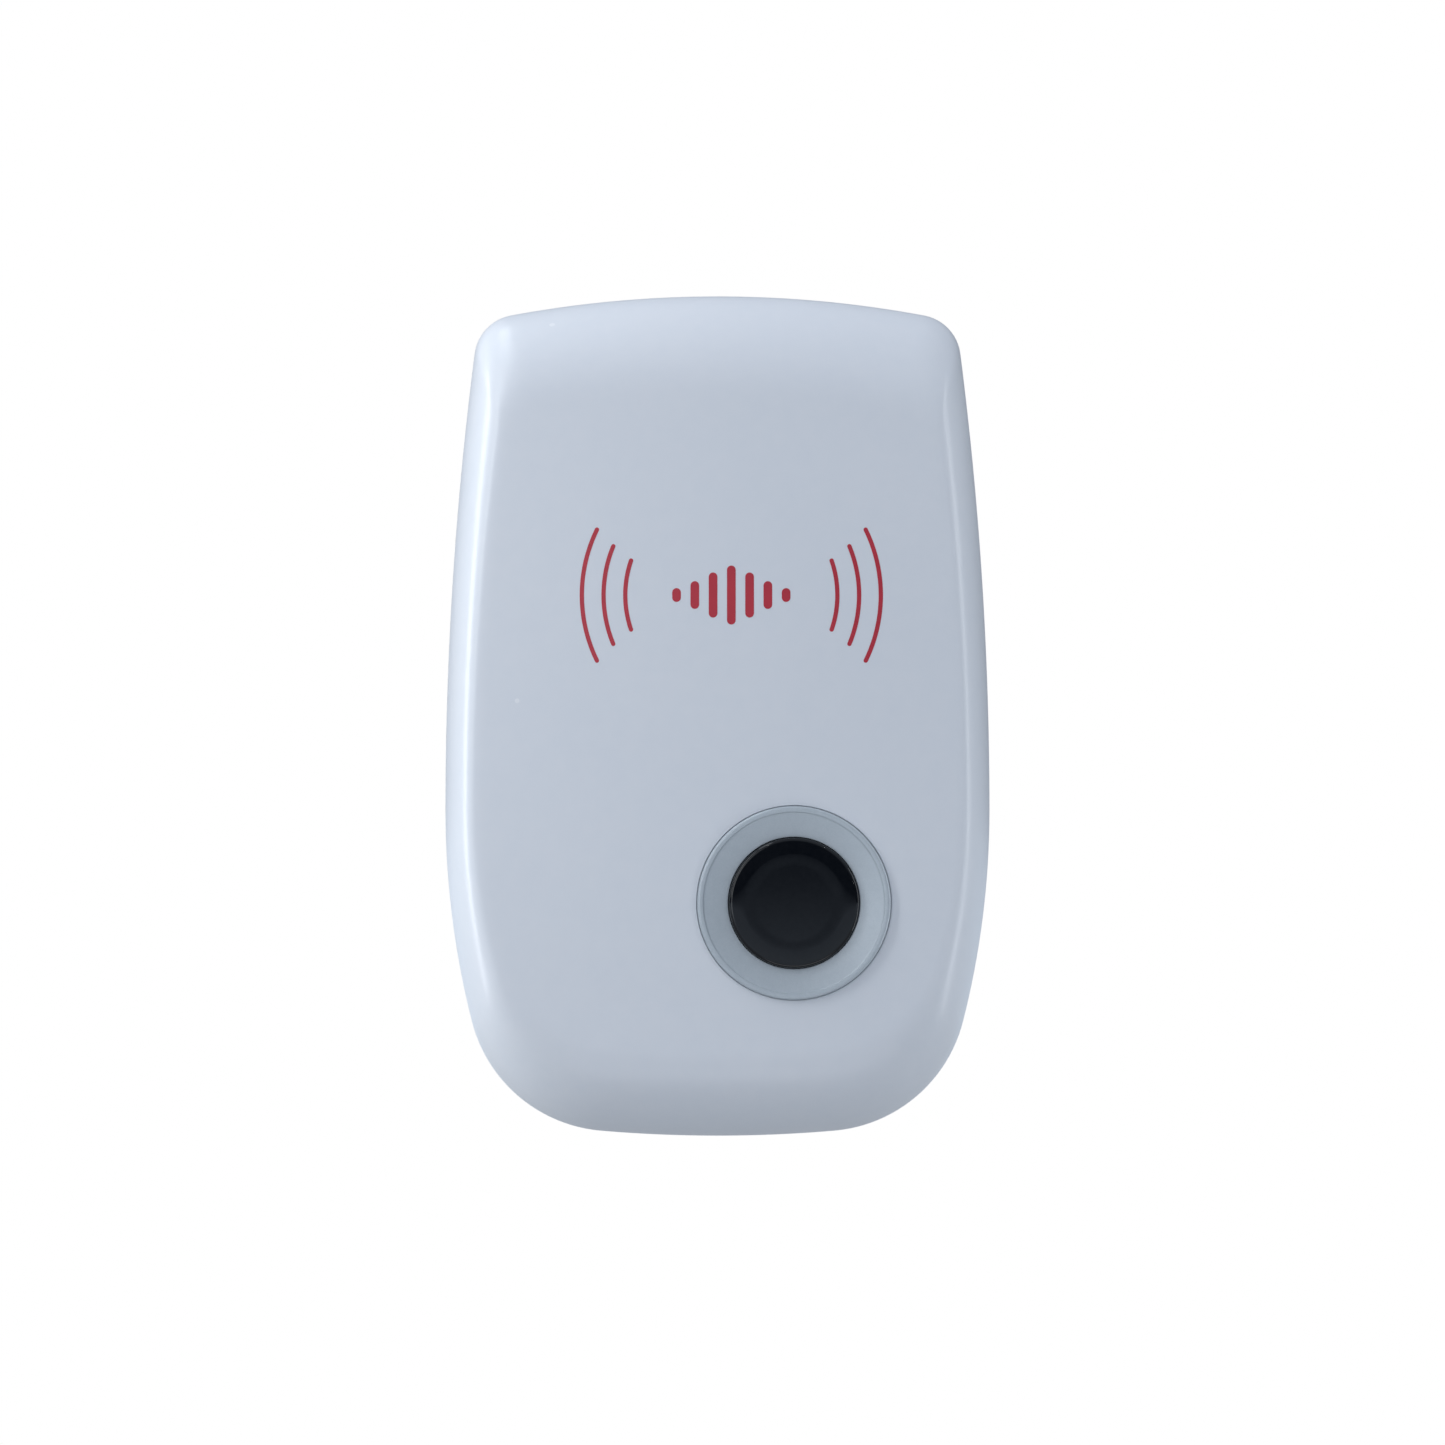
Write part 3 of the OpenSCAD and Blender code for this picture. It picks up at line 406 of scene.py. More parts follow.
def paint_over(tree, shader, mask, tone):
    """Lays a second colour over the base colour where the mask is 1; tone is a colour or a socket."""
    under = shader.inputs["Base Color"].links[0].from_socket
    layer = add(tree, "Mix", {0: mask, 7: tone}, data_type="RGBA")
    tree.links.new(under, layer.inputs[6])
    tree.links.new(layer.outputs[2], shader.inputs["Base Color"])


def gloss(tree, shader, rough, change, scale):
    patches = use(tree, handling, {"Roughness": rough, "Change": change, "Scale": scale})
    tree.links.new(patches["Roughness"], shader.inputs["Roughness"])


def bump(tree, shader, height, depth):
    """depth is the real height of the relief, in metres."""
    relief = add(tree, "Bump", {"Height": height, "Strength": 1.0, "Distance": depth})
    tree.links.new(relief.outputs[0], shader.inputs["Normal"])


# %% Plastic, rubber and lacquer
DUST_SCALE, DUST_SIZE, DUST_SHOW, DUST_PALE = 260, 0.1, 0.55, (0.93, 0.94, 0.96, 1)
HAND_SCALE = 90


def plastic(name, colour, shade, rough, change=0.08, drift_scale=60, grain_scale=3000,
            depth=4e-6, specks=0.0, **fixed):
    made, tree, shader = start_material(name, **fixed)
    tint(tree, shader, colour, shade, drift_scale)
    if specks:
        mask = use(tree, dust, {"Scale": DUST_SCALE, "Share": specks, "Size": DUST_SIZE})["Mask"]
        paint_over(tree, shader, maths(tree, "MULTIPLY", mask, DUST_SHOW), DUST_PALE)
    gloss(tree, shader, rough, change, HAND_SCALE)
    bump(tree, shader, use(tree, grain, {"Scale": grain_scale, "Waviness": 0.3})["Height"], depth)
    return made


# %% Bare metal


def metal(name, colour, shade, rough, across, change=0.12, depth=2e-6, **fixed):
    """across: how closely the drawn lines lie along each axis, small along the lines."""
    made, tree, shader = start_material(name, Metallic=1.0, **fixed)
    tint(tree, shader, colour, shade, 150)
    streak = use(tree, lines, {"Across X": across[0], "Across Y": across[1], "Across Z": across[2]})["Value"]
    patches = use(tree, handling, {"Roughness": rough, "Change": change, "Scale": 200})["Roughness"]
    swing = maths(tree, "MULTIPLY", maths(tree, "SUBTRACT", streak, 0.5), change)
    tree.links.new(maths(tree, "ADD", patches, swing, clamp=True), shader.inputs["Roughness"])
    bump(tree, shader, streak, depth)
    return made


# %% [markdown]
# ## Ways to make a shape
# Three tools make nearly every piece. A skin is a stack of rings with the same number of
# points, joined band by band, and closed on itself like a tube bent into a ring. A lathe
# turns a half section about a line. A carve adds or cuts with a boolean, then drops its tool.

# %% Rings joined into a closed skin


def skin(rings):
    count = len(rings[0])
    points = [point for ring in rings for point in ring]
    faces = []
    for j in range(len(rings)):
        k = (j + 1) % len(rings)
        faces += [(j * count + i, j * count + (i + 1) % count, k * count + (i + 1) % count, k * count + i)
                  for i in range(count)]
    return points, faces


def stack(rings):
    """Rings joined band by band, with a flat face at each end."""
    points, faces = skin(rings)
    count = len(rings[0])
    return points, faces[:-count] + [tuple(range(count)), tuple(range(len(points) - count, len(points)))]


# %% A half section turned about an upright line


def lathe(section, centre=(0, 0), steps=96):
    """section is a closed list of (radius, height); a radius of 0 lies on the line."""
    points, starts = [], []
    for radius, level in section:
        starts.append(len(points))
        turns = steps if radius > 1e-6 else 1
        points += [(centre[0] + radius * math.cos(math.tau * i / steps),
                    centre[1] + radius * math.sin(math.tau * i / steps), level) for i in range(turns)]
    faces = []
    for j, (radius, _) in enumerate(section):
        k = (j + 1) % len(section)
        here, there = starts[j], starts[k]
        on_line, next_on_line = radius <= 1e-6, section[k][0] <= 1e-6
        if on_line and next_on_line:
            continue
        for i in range(steps):
            n = (i + 1) % steps
            if on_line:
                faces.append((here, there + n, there + i))
            elif next_on_line:
                faces.append((here + i, here + n, there))
            else:
                faces.append((here + i, here + n, there + n, there + i))
    return points, faces


def rod(radius, low, high, at=(0, 0), steps=24):
    return lathe([(0, low), (radius, low), (radius, high), (0, high)], at, steps)


def rounded(corner, radius, start, end, steps=6):
    """Points of a round edge: corner is the middle of the arc, as (radius, height)."""
    return [(corner[0] + radius * math.cos(math.radians(start + (end - start) * i / steps)),
             corner[1] + radius * math.sin(math.radians(start + (end - start) * i / steps)))
            for i in range(steps + 1)]


# %% A straight block, and several shapes as one


def block(low, high):
    points = [(x, y, z) for z in (low[2], high[2]) for y in (low[1], high[1]) for x in (low[0], high[0])]
    return points, [(0, 2, 3, 1), (4, 5, 7, 6), (0, 1, 5, 4), (2, 6, 7, 3), (0, 4, 6, 2), (1, 3, 7, 5)]


def together(*shapes):
    points, faces = [], []
    for shape_points, shape_faces in shapes:
        faces += [tuple(len(points) + i for i in face) for face in shape_faces]
        points += shape_points
    return points, faces


def gap_across(centre, turn, half_w, reach, low, high):
    """A long block through a round wall, turned about the wall's centre."""
    points, faces = block((-reach, -half_w, low), (reach, half_w, high))
    c, s = math.cos(math.radians(turn)), math.sin(math.radians(turn))
    return [(centre.x + c * x - s * y, centre.y + s * x + c * y, z) for x, y, z in points], faces


def laid(shape, at, along="x"):
    """Lays an upright shape down, so that its z runs along x or y through the point at."""
    points, faces = shape
    turn = {"x": lambda x, y, z: (z, y, -x), "y": lambda x, y, z: (x, z, -y)}[along]
    return [tuple(a + b for a, b in zip(at, turn(*p))) for p in points], faces


# %% Turn a shape into an object, and carve it


def make(name, shape, upright=True):
    points, faces = shape
    mesh = bpy.data.meshes.new(name)
    mesh.from_pydata([stand(*p) for p in points] if upright else points, [], faces)
    work = bmesh.new()
    work.from_mesh(mesh)
    bmesh.ops.recalc_face_normals(work, faces=work.faces)
    work.to_mesh(mesh)
    work.free()
    made = bpy.data.objects.new(name, mesh)
    bpy.context.scene.collection.objects.link(made)
    return made


def apply_modifiers(piece):
    """What the modifiers make of the piece becomes its own mesh."""
    graph = bpy.context.evaluated_depsgraph_get()
    mesh = bpy.data.meshes.new_from_object(piece.evaluated_get(graph))
    piece.modifiers.clear()
    piece.data = mesh


def carve(piece, operation, shape):
    tool = make("tool", shape)
    step = piece.modifiers.new("carve", "BOOLEAN")
    step.operation, step.object, step.solver = operation, tool, "EXACT"
    apply_modifiers(piece)
    bpy.data.objects.remove(tool)


# %% Give a piece its finish and its place in the model


def settle(piece, finish, *nodes, body="housing", slot=None, sharp=32):
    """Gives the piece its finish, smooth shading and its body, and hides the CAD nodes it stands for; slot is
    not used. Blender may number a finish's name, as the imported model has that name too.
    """
    piece.data.materials.clear()
    piece.data.materials.append(finish)
    piece.data.shade_smooth()
    piece.data.set_sharp_from_angle(angle=math.radians(sharp))
    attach(piece, body)
    if nodes:
        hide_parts(*nodes)
    print(piece.name, len(piece.data.polygons), "faces")
    return piece


# %% [markdown]
# ## The case outline
# Seen from the front the case is a soft shield: a shallow foot, big lower corners, sides that
# lean in towards the top, two tight upper corners and a gentle crown. All of it is tangent
# arcs, so the centre of each corner arc lies where two offset circles meet.

# %% Outline from tangent arcs
widest_y = 38
FOOT_R, FOOT_CORNER_R, FLANK_R, SIDE_R, TOP_R, TOP_CORNER_R = 160, 17, 100, 420, 132, 5.2


def meet(a, ra, b, rb):
    gap = (b - a).length
    along = (gap * gap + ra * ra - rb * rb) / (2 * gap)
    toward = (b - a) / gap
    return a + along * toward + math.sqrt(ra * ra - along * along) * Vector((-toward.y, toward.x))


def bearing(a, b):
    return math.degrees(math.atan2(b.y - a.y, b.x - a.x))


foot_c = Vector((0, FOOT_R))
flank_c = Vector((case_w / 2 - FLANK_R, widest_y))
side_c = Vector((case_w / 2 - SIDE_R, widest_y))
top_c = Vector((0, case_h - TOP_R))
low_corner = meet(foot_c, FOOT_R - FOOT_CORNER_R, flank_c, FLANK_R - FOOT_CORNER_R)
high_corner = meet(side_c, SIDE_R - TOP_CORNER_R, top_c, TOP_R - TOP_CORNER_R)
ARCS = [(foot_c, FOOT_R, -90, bearing(foot_c, low_corner), 12),
        (low_corner, FOOT_CORNER_R, bearing(foot_c, low_corner), bearing(flank_c, low_corner), 24),
        (flank_c, FLANK_R, bearing(flank_c, low_corner), 0, 16),
        (side_c, SIDE_R, 0, bearing(side_c, high_corner), 36),
        (high_corner, TOP_CORNER_R, bearing(side_c, high_corner), bearing(top_c, high_corner), 12),
        (top_c, TOP_R, bearing(top_c, high_corner), 90, 18)]


def outline(inset):
    """Points round the case, moved inwards, anticlockwise from the middle of the foot."""
    half = []
    for centre, radius, start, end, steps in ARCS:
        for i in range(steps):
            angle = math.radians(start + (end - start) * i / steps)
            half.append(centre + (radius - inset) * Vector((math.cos(angle), math.sin(angle))))
    return half + [Vector((0, case_h - inset))] + [Vector((-p.x, p.y)) for p in reversed(half[1:])]


edge = outline(0)
print("the outline has", len(edge), "points; lower corner about", [round(c, 2) for c in low_corner])

# %% [markdown]
# ## The crowned face
# The face isn't flat: it stands slightly proud in the middle. A steep round edge joins it to
# the sides, and a longer, gentler one to the top and the foot. Both the outside and the inside
# of the cover follow the same rule, one wall apart.

# %% Face and round edge
REAR_DEPTH, WALL, SHOULDER_Z, CROWN_Y = 12, 2, 13.5, 41
CROSS_R, LONG_R = 450, 700
SIDE_RUN, FOOT_RUN, TOP_RUN = 4, 10, 12
face_z = corners("front_cover")[1].z


def crown(p):
    return face_z - p[0] ** 2 / (2 * CROSS_R) - (p[1] - CROWN_Y) ** 2 / (2 * LONG_R)


face_edge = [Vector((p.x * (1 - 2 * SIDE_RUN / case_w), FOOT_RUN + p.y * (1 - (FOOT_RUN + TOP_RUN) / case_h)))
             for p in edge]


def level(inset, z):
    return [(p.x, p.y, z) for p in outline(inset)]


def rolled(inset, turn):
    """A ring of the round edge: turn is 0 at the side wall and 90 at the face."""
    turn = math.radians(turn)
    ring = [a.lerp(b, 1 - math.cos(turn)) for a, b in zip(outline(inset), face_edge)]
    return [(p.x, p.y, SHOULDER_Z + (crown(p) - inset - SHOULDER_Z) * math.sin(turn)) for p in ring]


# %% [markdown]
# ## Front cover
# The ring sits in a round seat in the face. If its hole were cut with a boolean the face would
# fill with long thin faces that catch the light. Here the rings of the face are spun out from
# the button's centre instead, round at the hole and case-shaped at the edge, so the face stays
# one clean sheet. The skin then goes over the edge, round the rim and back up the inside.

# %% Rings of the front cover
button = middle("button_cap")
toward_edge = [(p - button.xy).normalized() for p in face_edge]
SEAT_R, SEAT_DEPTH, BORE_R, PAD_R = 11.21, 0.9, 9.38, 11.88
seat_z = crown(button) - SEAT_DEPTH
pad_z = seat_z - 3.7
HAIRLINE = 0.14                   # the tiny chamfer that makes the parting line show


def round_hole(radius, z=None, drop=0.0):
    ring = [button.xy + radius * way for way in toward_edge]
    return [(p.x, p.y, crown(p) - drop if z is None else z) for p in ring]


def face_ring(share, drop, start):
    ring = [(button.xy + start * way).lerp(p, share) for way, p in zip(toward_edge, face_edge)]
    return [(p.x, p.y, crown(p) - drop) for p in ring]


outer = [round_hole(BORE_R, pad_z), round_hole(BORE_R, seat_z - 0.1), round_hole(BORE_R + 0.1, seat_z),
         round_hole(SEAT_R, seat_z), round_hole(SEAT_R, drop=0.1), round_hole(SEAT_R + 0.03, drop=0.03),
         round_hole(SEAT_R + 0.1)]
FACE_SHARES = (0.03, 0.08, 0.16, 0.27, 0.4, 0.54, 0.68, 0.8, 0.9, 0.97)
outer += [face_ring(share, 0, SEAT_R + 0.1) for share in FACE_SHARES]
outer += [rolled(0, turn) for turn in range(90, -1, -5)]
rim = [level(0, REAR_DEPTH + HAIRLINE), level(HAIRLINE, REAR_DEPTH), level(1.1, REAR_DEPTH),
       level(1.1, REAR_DEPTH - 1.2), level(1.3, REAR_DEPTH - 1.4), level(WALL, REAR_DEPTH - 1.4)]
inner = [rolled(WALL, turn) for turn in range(0, 91, 10)]
inner += [face_ring(share, WALL, PAD_R) for share in (0.66, 0.33)]
inner += [round_hole(PAD_R, drop=WALL), round_hole(PAD_R, pad_z)]

# %% [markdown]
# Inside, four posts take the case screws. They are turned with their blind holes already in
# them and joined on, so the outer sheet isn't touched.

# %% Front cover with its posts
screws = [(x, y) for x, y in ((-21.5, 79), (21.5, 79), (-20.5, 17.5), (20.5, 17.5))]
POST_R, THREAD_R, HOLE_TOP = 3, 1.35, REAR_DEPTH + 9


def front_post(p):
    top = crown(p) - WALL / 2
    return lathe([(THREAD_R + 0.25, REAR_DEPTH), (POST_R, REAR_DEPTH), (POST_R, top), (0, top), (0, HOLE_TOP),
                  (THREAD_R, HOLE_TOP), (THREAD_R, REAR_DEPTH + 0.25)], p, 32)


front = make("front_shell", skin(outer + rim + inner))
carve(front, "UNION", together(*[front_post(p) for p in screws]))

# %% [markdown]
# ### White plastic
# The case is white ABS from a polished mould, seen in cool light: nearly smooth, a satin
# gloss, hardly any drift in colour, a faint grain and a few specks of dust.

# %% White plastic, front cover
case_white = plastic("case_white", (0.79, 0.815, 0.855), (0.77, 0.80, 0.845), 0.30, change=0.06,
                     depth=1.2e-6, grain_scale=2500, specks=0.02, Specular_IOR_Level=0.45)
settle(front, case_white, "front_cover")

# %% [markdown]
# ## Rear cover
# The rear half is a tray: a straight side, a small round edge, a flat back and a groove in its
# rim for the front cover's tongue. Its skin is spun out from the plug's hole in the back.

# %% Rings of the rear cover
plug = middle("plug_body")
BACK_ROUND, NECK_HOLE_R = 3, 17.05
toward_back = [(p - plug.xy).normalized() for p in outline(BACK_ROUND)]


def plug_hole(radius, z):
    return [(*(plug.xy + radius * way), z) for way in toward_back]


def back_ring(inset, share, z):
    return [(*(plug.xy + NECK_HOLE_R * way).lerp(p, share), z) for way, p in zip(toward_back, outline(inset))]


tray = [level(HAIRLINE, REAR_DEPTH), level(0, REAR_DEPTH - HAIRLINE)]
tray += [level(BACK_ROUND * (1 - math.cos(math.radians(a))), BACK_ROUND * (1 - math.sin(math.radians(a))))
         for a in range(0, 91, 10)]
tray += [back_ring(BACK_ROUND, 0.5, 0), plug_hole(NECK_HOLE_R + 0.15, 0), plug_hole(NECK_HOLE_R, 0.15),
         plug_hole(NECK_HOLE_R, WALL), back_ring(WALL, 0.5, WALL), level(WALL + 0.4, WALL),
         level(WALL, WALL + 0.4), level(WALL, REAR_DEPTH - 1.5), level(1, REAR_DEPTH - 1.5),
         level(1, REAR_DEPTH)]

# %% [markdown]
# Posts for the case screws and the board, and a forked cradle for the sounder, rise from the
# floor. The screw heads go in deep wells, the foot has five sound slots, and a shallow pocket
# in the back takes the label. The wells and the pocket have softened edges, as moulded ones do.

# %% Posts and cuts of the rear cover
board_posts = [((-21.5, 25), True), ((21.5, 71.5), True), ((21.5, 25), False), ((-21.5, 71.5), False)]
WELL_R, WELL_DEPTH, BOARD_POST_R, BOARD_Z, PILOT_R, PILOT_FOOT = 2.64, 7, 2.5, 9.4, 1.05, 4.6
case_posts = [rod(POST_R, WALL / 2, REAR_DEPTH, p, 40) for p in screws]
rests = [lathe([(0, WALL / 2), (BOARD_POST_R, WALL / 2), (BOARD_POST_R, BOARD_Z - 0.15),
                (BOARD_POST_R - 0.15, BOARD_Z), (0, BOARD_Z)], p, 32) for p, _ in board_posts]
wells = [lathe([(0, -1), (WELL_R + 0.25, -1), (WELL_R + 0.25, 0), (WELL_R, 0.25), (WELL_R, WELL_DEPTH),
                (THREAD_R, WELL_DEPTH), (THREAD_R, REAR_DEPTH + 1), (0, REAR_DEPTH + 1)], p, 40)
         for p in screws]
pilots = [rod(PILOT_R, PILOT_FOOT, BOARD_Z + 1, p) for p, screwed in board_posts if screwed]

# %% Sound slots, label pocket and cradle
SLOTS, SLOT_W, SLOT_PITCH, SLOT_LOW, SLOT_HIGH = 5, 2, 3.6, 3.4, 9.6
label_low, label_high = corners("rating_label")
label_middle = middle("rating_label")
label_w, label_h = label_high.x - label_low.x, label_high.y - label_low.y
LABEL_ROUND, POCKET_FIT, POCKET_DEPTH = 1.4, 0.3, 0.25
grommet_low, grommet_high = corners("transducer_grommet")
sounder_z = (grommet_low.z + grommet_high.z) / 2
axis_at = (0, 0, sounder_z)
grommet_r = (grommet_high.x - grommet_low.x) / 2


def stadium_slot(x):
    """A slot with round ends, cut up through the foot: its section lies in x and z."""
    radius = SLOT_W / 2
    ring = [(x + radius * math.cos(math.radians(a)), (SLOT_HIGH - radius if a < 180 else SLOT_LOW + radius)
             + radius * math.sin(math.radians(a))) for a in range(0, 360, 15)]
    return stack([[(px, y, pz) for px, pz in ring] for y in (-1, WALL + 1)])


def rounded_plate(centre, w, h, radius, low_z, high_z):
    arcs = [(centre.x + sx * (w / 2 - radius), centre.y + sy * (h / 2 - radius), start)
            for sx, sy, start in ((1, 1, 0), (-1, 1, 90), (-1, -1, 180), (1, -1, 270))]
    ring = [(x + radius * math.cos(math.radians(start + a)), y + radius * math.sin(math.radians(start + a)))
            for x, y, start in arcs for a in range(0, 91, 15)]
    return stack([[(px, py, z) for px, py in ring] for z in (low_z, high_z)])


CRADLE_Y, CRADLE_T, CRADLE_WALL = 8, 2.4, 2
cradle = block((-grommet_r - CRADLE_WALL, CRADLE_Y, WALL / 2),
               (grommet_r + CRADLE_WALL, CRADLE_Y + CRADLE_T, sounder_z + 2))
seat = laid(rod(grommet_r + 0.05, CRADLE_Y - 1, CRADLE_Y + CRADLE_T + 1, steps=72), axis_at, "y")
slots = [stadium_slot((i - (SLOTS - 1) / 2) * SLOT_PITCH) for i in range(SLOTS)]
pocket = rounded_plate(label_middle, label_w + 2 * POCKET_FIT, label_h + 2 * POCKET_FIT,
                       LABEL_ROUND + POCKET_FIT, -1, POCKET_DEPTH)

# %% Rear cover
rear = make("rear_shell", skin(tray))
carve(rear, "UNION", together(*case_posts, *rests, cradle))
carve(rear, "DIFFERENCE", together(*wells, *pilots, *slots, pocket, seat))
settle(rear, case_white, "rear_cover")

# %% [markdown]
# ## Plug body
# A round boss carries the plug. It is its own moulding: its neck passes through the back and
# snaps behind it with six fingers, and a stepped seat takes the plate that holds the pins.

# %% Plug body and its snap fingers
BOSS_R, BOSS_DEPTH, BOSS_EDGE, SEAT_BORE_R, BOSS_BORE_R, PLATE_Z = 18.25, 17, 1, 16.25, 14.5, -13.5
NECK_R, BARB_R, NECK_END, FINGER_GAP, FINGER_ROOT = 17, 17.4, 3.2, 4, 0.4
boss = [(SEAT_BORE_R + 0.2, -BOSS_DEPTH)]
boss += rounded((BOSS_R - BOSS_EDGE, BOSS_EDGE - BOSS_DEPTH), BOSS_EDGE, -90, 0, 8)
boss += [(BOSS_R, -0.55), (BOSS_R - 0.3, -0.35), (BOSS_R - 0.3, -0.05), (BOSS_R - 0.35, 0), (NECK_R, 0),
         (NECK_R, 2.05), (BARB_R, 2.05), (BARB_R, 2.5), (NECK_R, NECK_END), (BOSS_BORE_R, NECK_END),
         (BOSS_BORE_R, PLATE_Z), (SEAT_BORE_R, PLATE_Z), (SEAT_BORE_R, 0.2 - BOSS_DEPTH)]
body = make("plug_boss", lathe(boss, plug.xy, 128))
for turn in (0, 60, 120):
    carve(body, "DIFFERENCE", gap_across(plug, turn, FINGER_GAP / 2, BARB_R + 1, FINGER_ROOT, NECK_END + 1))
settle(body, case_white, "plug_body")

# %% [markdown]
# ## Plug plate
# The disc that the pins pass through. A shallow groove runs round it, two round marks show
# where ejector pins pushed it out of its mould, and each pin hole is stepped for its sleeve.

# %% Plate with stepped holes
PIN_SPACING, PIN_R, ROOT_R, SLEEVE_R, SLEEVE_SEAT = 19, 2, 1.45, 1.8, 2
PLATE_R = 16.2
GROOVE_R, GROOVE_W, GROOVE_DEPTH = 13.6, 0.8, 0.35
MARK_R, MARK_DEPTH, MARK_Y = 1.4, 0.08, 9
plate_face = -BOSS_DEPTH
plate_section = [(0, plate_face), (GROOVE_R - GROOVE_W, plate_face),
                 (GROOVE_R - GROOVE_W + 0.1, plate_face + GROOVE_DEPTH),
                 (GROOVE_R - 0.1, plate_face + GROOVE_DEPTH), (GROOVE_R, plate_face),
                 (PLATE_R - 0.3, plate_face), (PLATE_R, plate_face + 0.3), (PLATE_R, PLATE_Z),
                 (0, PLATE_Z)]
plate = make("plug_disc", lathe(plate_section, plug.xy, 112))
pin_spots = [(plug.x - PIN_SPACING / 2, plug.y), (plug.x + PIN_SPACING / 2, plug.y)]
FIT = 0.05
holes = [lathe([(0, plate_face - 1), (SLEEVE_R + FIT + 0.15, plate_face - 1),
                (SLEEVE_R + FIT + 0.15, plate_face), (SLEEVE_R + FIT, plate_face + 0.15),
                (SLEEVE_R + FIT, plate_face + SLEEVE_SEAT), (ROOT_R + FIT, plate_face + SLEEVE_SEAT),
                (ROOT_R + FIT, PLATE_Z + 1), (0, PLATE_Z + 1)], p, 48) for p in pin_spots]
marks = [rod(MARK_R, plate_face - 1, plate_face + MARK_DEPTH, (plug.x, plug.y + side * MARK_Y), 40)
         for side in (-1, 1)]
carve(plate, "DIFFERENCE", together(*holes, *marks))
plate_white = plastic("plate_white", (0.78, 0.80, 0.83), (0.75, 0.775, 0.81), 0.42, change=0.08,
                      depth=5e-6, specks=0.02)
settle(plate, plate_white, "plug_plate")

# %% [markdown]
# ## Pins and sleeves
# The pins are turned brass with bright nickel plating, rubbed along their length where they
# slide into a socket. Black sleeves cover their roots.

# %% Pins
PIN_LENGTH, SLEEVE_LENGTH, NOSE, COLLAR_R, COLLAR_T, TAIL_R, PIN_TAIL_Z = 19, 10, 0.9, 2.8, 1.5, 0.9, -8
tip, root = -BOSS_DEPTH - PIN_LENGTH, -BOSS_DEPTH - SLEEVE_LENGTH
pin_section = [(0, tip)] + rounded((PIN_R - NOSE, tip + NOSE), NOSE, -90, 0, 10)
pin_section += [(PIN_R, root - 0.08), (PIN_R - 0.08, root), (ROOT_R, root), (ROOT_R, PLATE_Z),
                (COLLAR_R - 0.15, PLATE_Z), (COLLAR_R, PLATE_Z + 0.15), (COLLAR_R, PLATE_Z + COLLAR_T),
                (TAIL_R, PLATE_Z + COLLAR_T), (TAIL_R, PIN_TAIL_Z - 0.2), (TAIL_R - 0.2, PIN_TAIL_Z),
                (0, PIN_TAIL_Z)]
pin_brass = metal("pin_brass", (0.86, 0.82, 0.72), (0.78, 0.73, 0.62), 0.22, (5000, 60, 5000),
                  change=0.16, depth=3e-6)
for side, p in zip(("left", "right"), pin_spots):
    settle(make("contact_" + side, lathe(pin_section, p, 64)), pin_brass, "plug_pin_" + side)

# %% Sleeves
sleeve_low, sleeve_high = root + 0.02, -BOSS_DEPTH + SLEEVE_SEAT
bore = ROOT_R + 0.02
sleeve_section = [(bore, sleeve_low), (SLEEVE_R - 0.12, sleeve_low), (SLEEVE_R, sleeve_low + 0.12),
                  (SLEEVE_R, sleeve_high), (bore, sleeve_high)]
sleeve_black = plastic("sleeve_black", (0.03, 0.031, 0.034), (0.045, 0.046, 0.05), 0.38, depth=4e-6)
for side, p in zip(("left", "right"), pin_spots):
    settle(make("sleeve_" + side, lathe(sleeve_section, p, 64)), sleeve_black, "pin_sleeve_" + side)

# %% [markdown]
# ## Rating label
# A blank satin silver film with round corners, pressed into its pocket. It is left plain.

# %% Label
label = make("label_film", rounded_plate(label_middle, label_w, label_h, LABEL_ROUND,
                                         label_low.z, label_high.z))
label_silver = metal("label_silver", (0.72, 0.73, 0.75), (0.66, 0.67, 0.69), 0.36, (120, 9000, 9000),
                     change=0.10, depth=1e-6)
settle(label, label_silver, "rating_label")

# %% [markdown]
# ## Ring
# The button runs in a separate ring. It is lacquered satin silver: a flat face inside a
# slightly raised, rounded rim, with a guide tube below that snaps through the cover. It fits
# its seat with a hairline gap, which is what draws the fine dark circle round it.

# %% Ring section
ring_low, ring_high = corners("bezel_ring")
RING_R = (ring_high.x - ring_low.x) / 2
guide_end, ring_top = ring_low.z, ring_high.z
RING_BORE, GUIDE_R, RIM_R, RIM_W, FACE_DROP, BARB = 7.58, 9.18, 0.35, 0.7, 0.18, 0.5
ring_face = ring_top - FACE_DROP
ring_section = [(RING_BORE, guide_end + 0.2), (RING_BORE, ring_face - 0.12),
                (RING_BORE + 0.035, ring_face - 0.035), (RING_BORE + 0.12, ring_face),
                (RING_R - RIM_W - 0.2, ring_face - 0.02), (RING_R - RIM_W - 0.05, ring_face + 0.03),
                (RING_R - RIM_W + 0.05, ring_top - 0.04)]
ring_section += rounded((RING_R - RIM_R, ring_top - RIM_R), RIM_R, 90, 0, 8)
ring_section += [(RING_R, seat_z + 0.1), (RING_R - 0.1, seat_z), (GUIDE_R, seat_z),
                 (GUIDE_R, guide_end + 0.8), (GUIDE_R + BARB, guide_end + 0.8),
                 (GUIDE_R + BARB, guide_end + 0.4), (GUIDE_R, guide_end), (RING_BORE + 0.2, guide_end)]
bezel = make("ring", lathe(ring_section, button.xy, 160))
SNAP_GAP, SNAP_LENGTH = 1.5, 2.2
for turn in (45, 135):
    carve(bezel, "DIFFERENCE", gap_across(button, turn, SNAP_GAP / 2, GUIDE_R + 2, guide_end - 1,
                                          guide_end + SNAP_LENGTH))
print("the ring is", round(2 * RING_R, 2), "mm across and stands", round(ring_top - crown(button), 2),
      "mm proud")
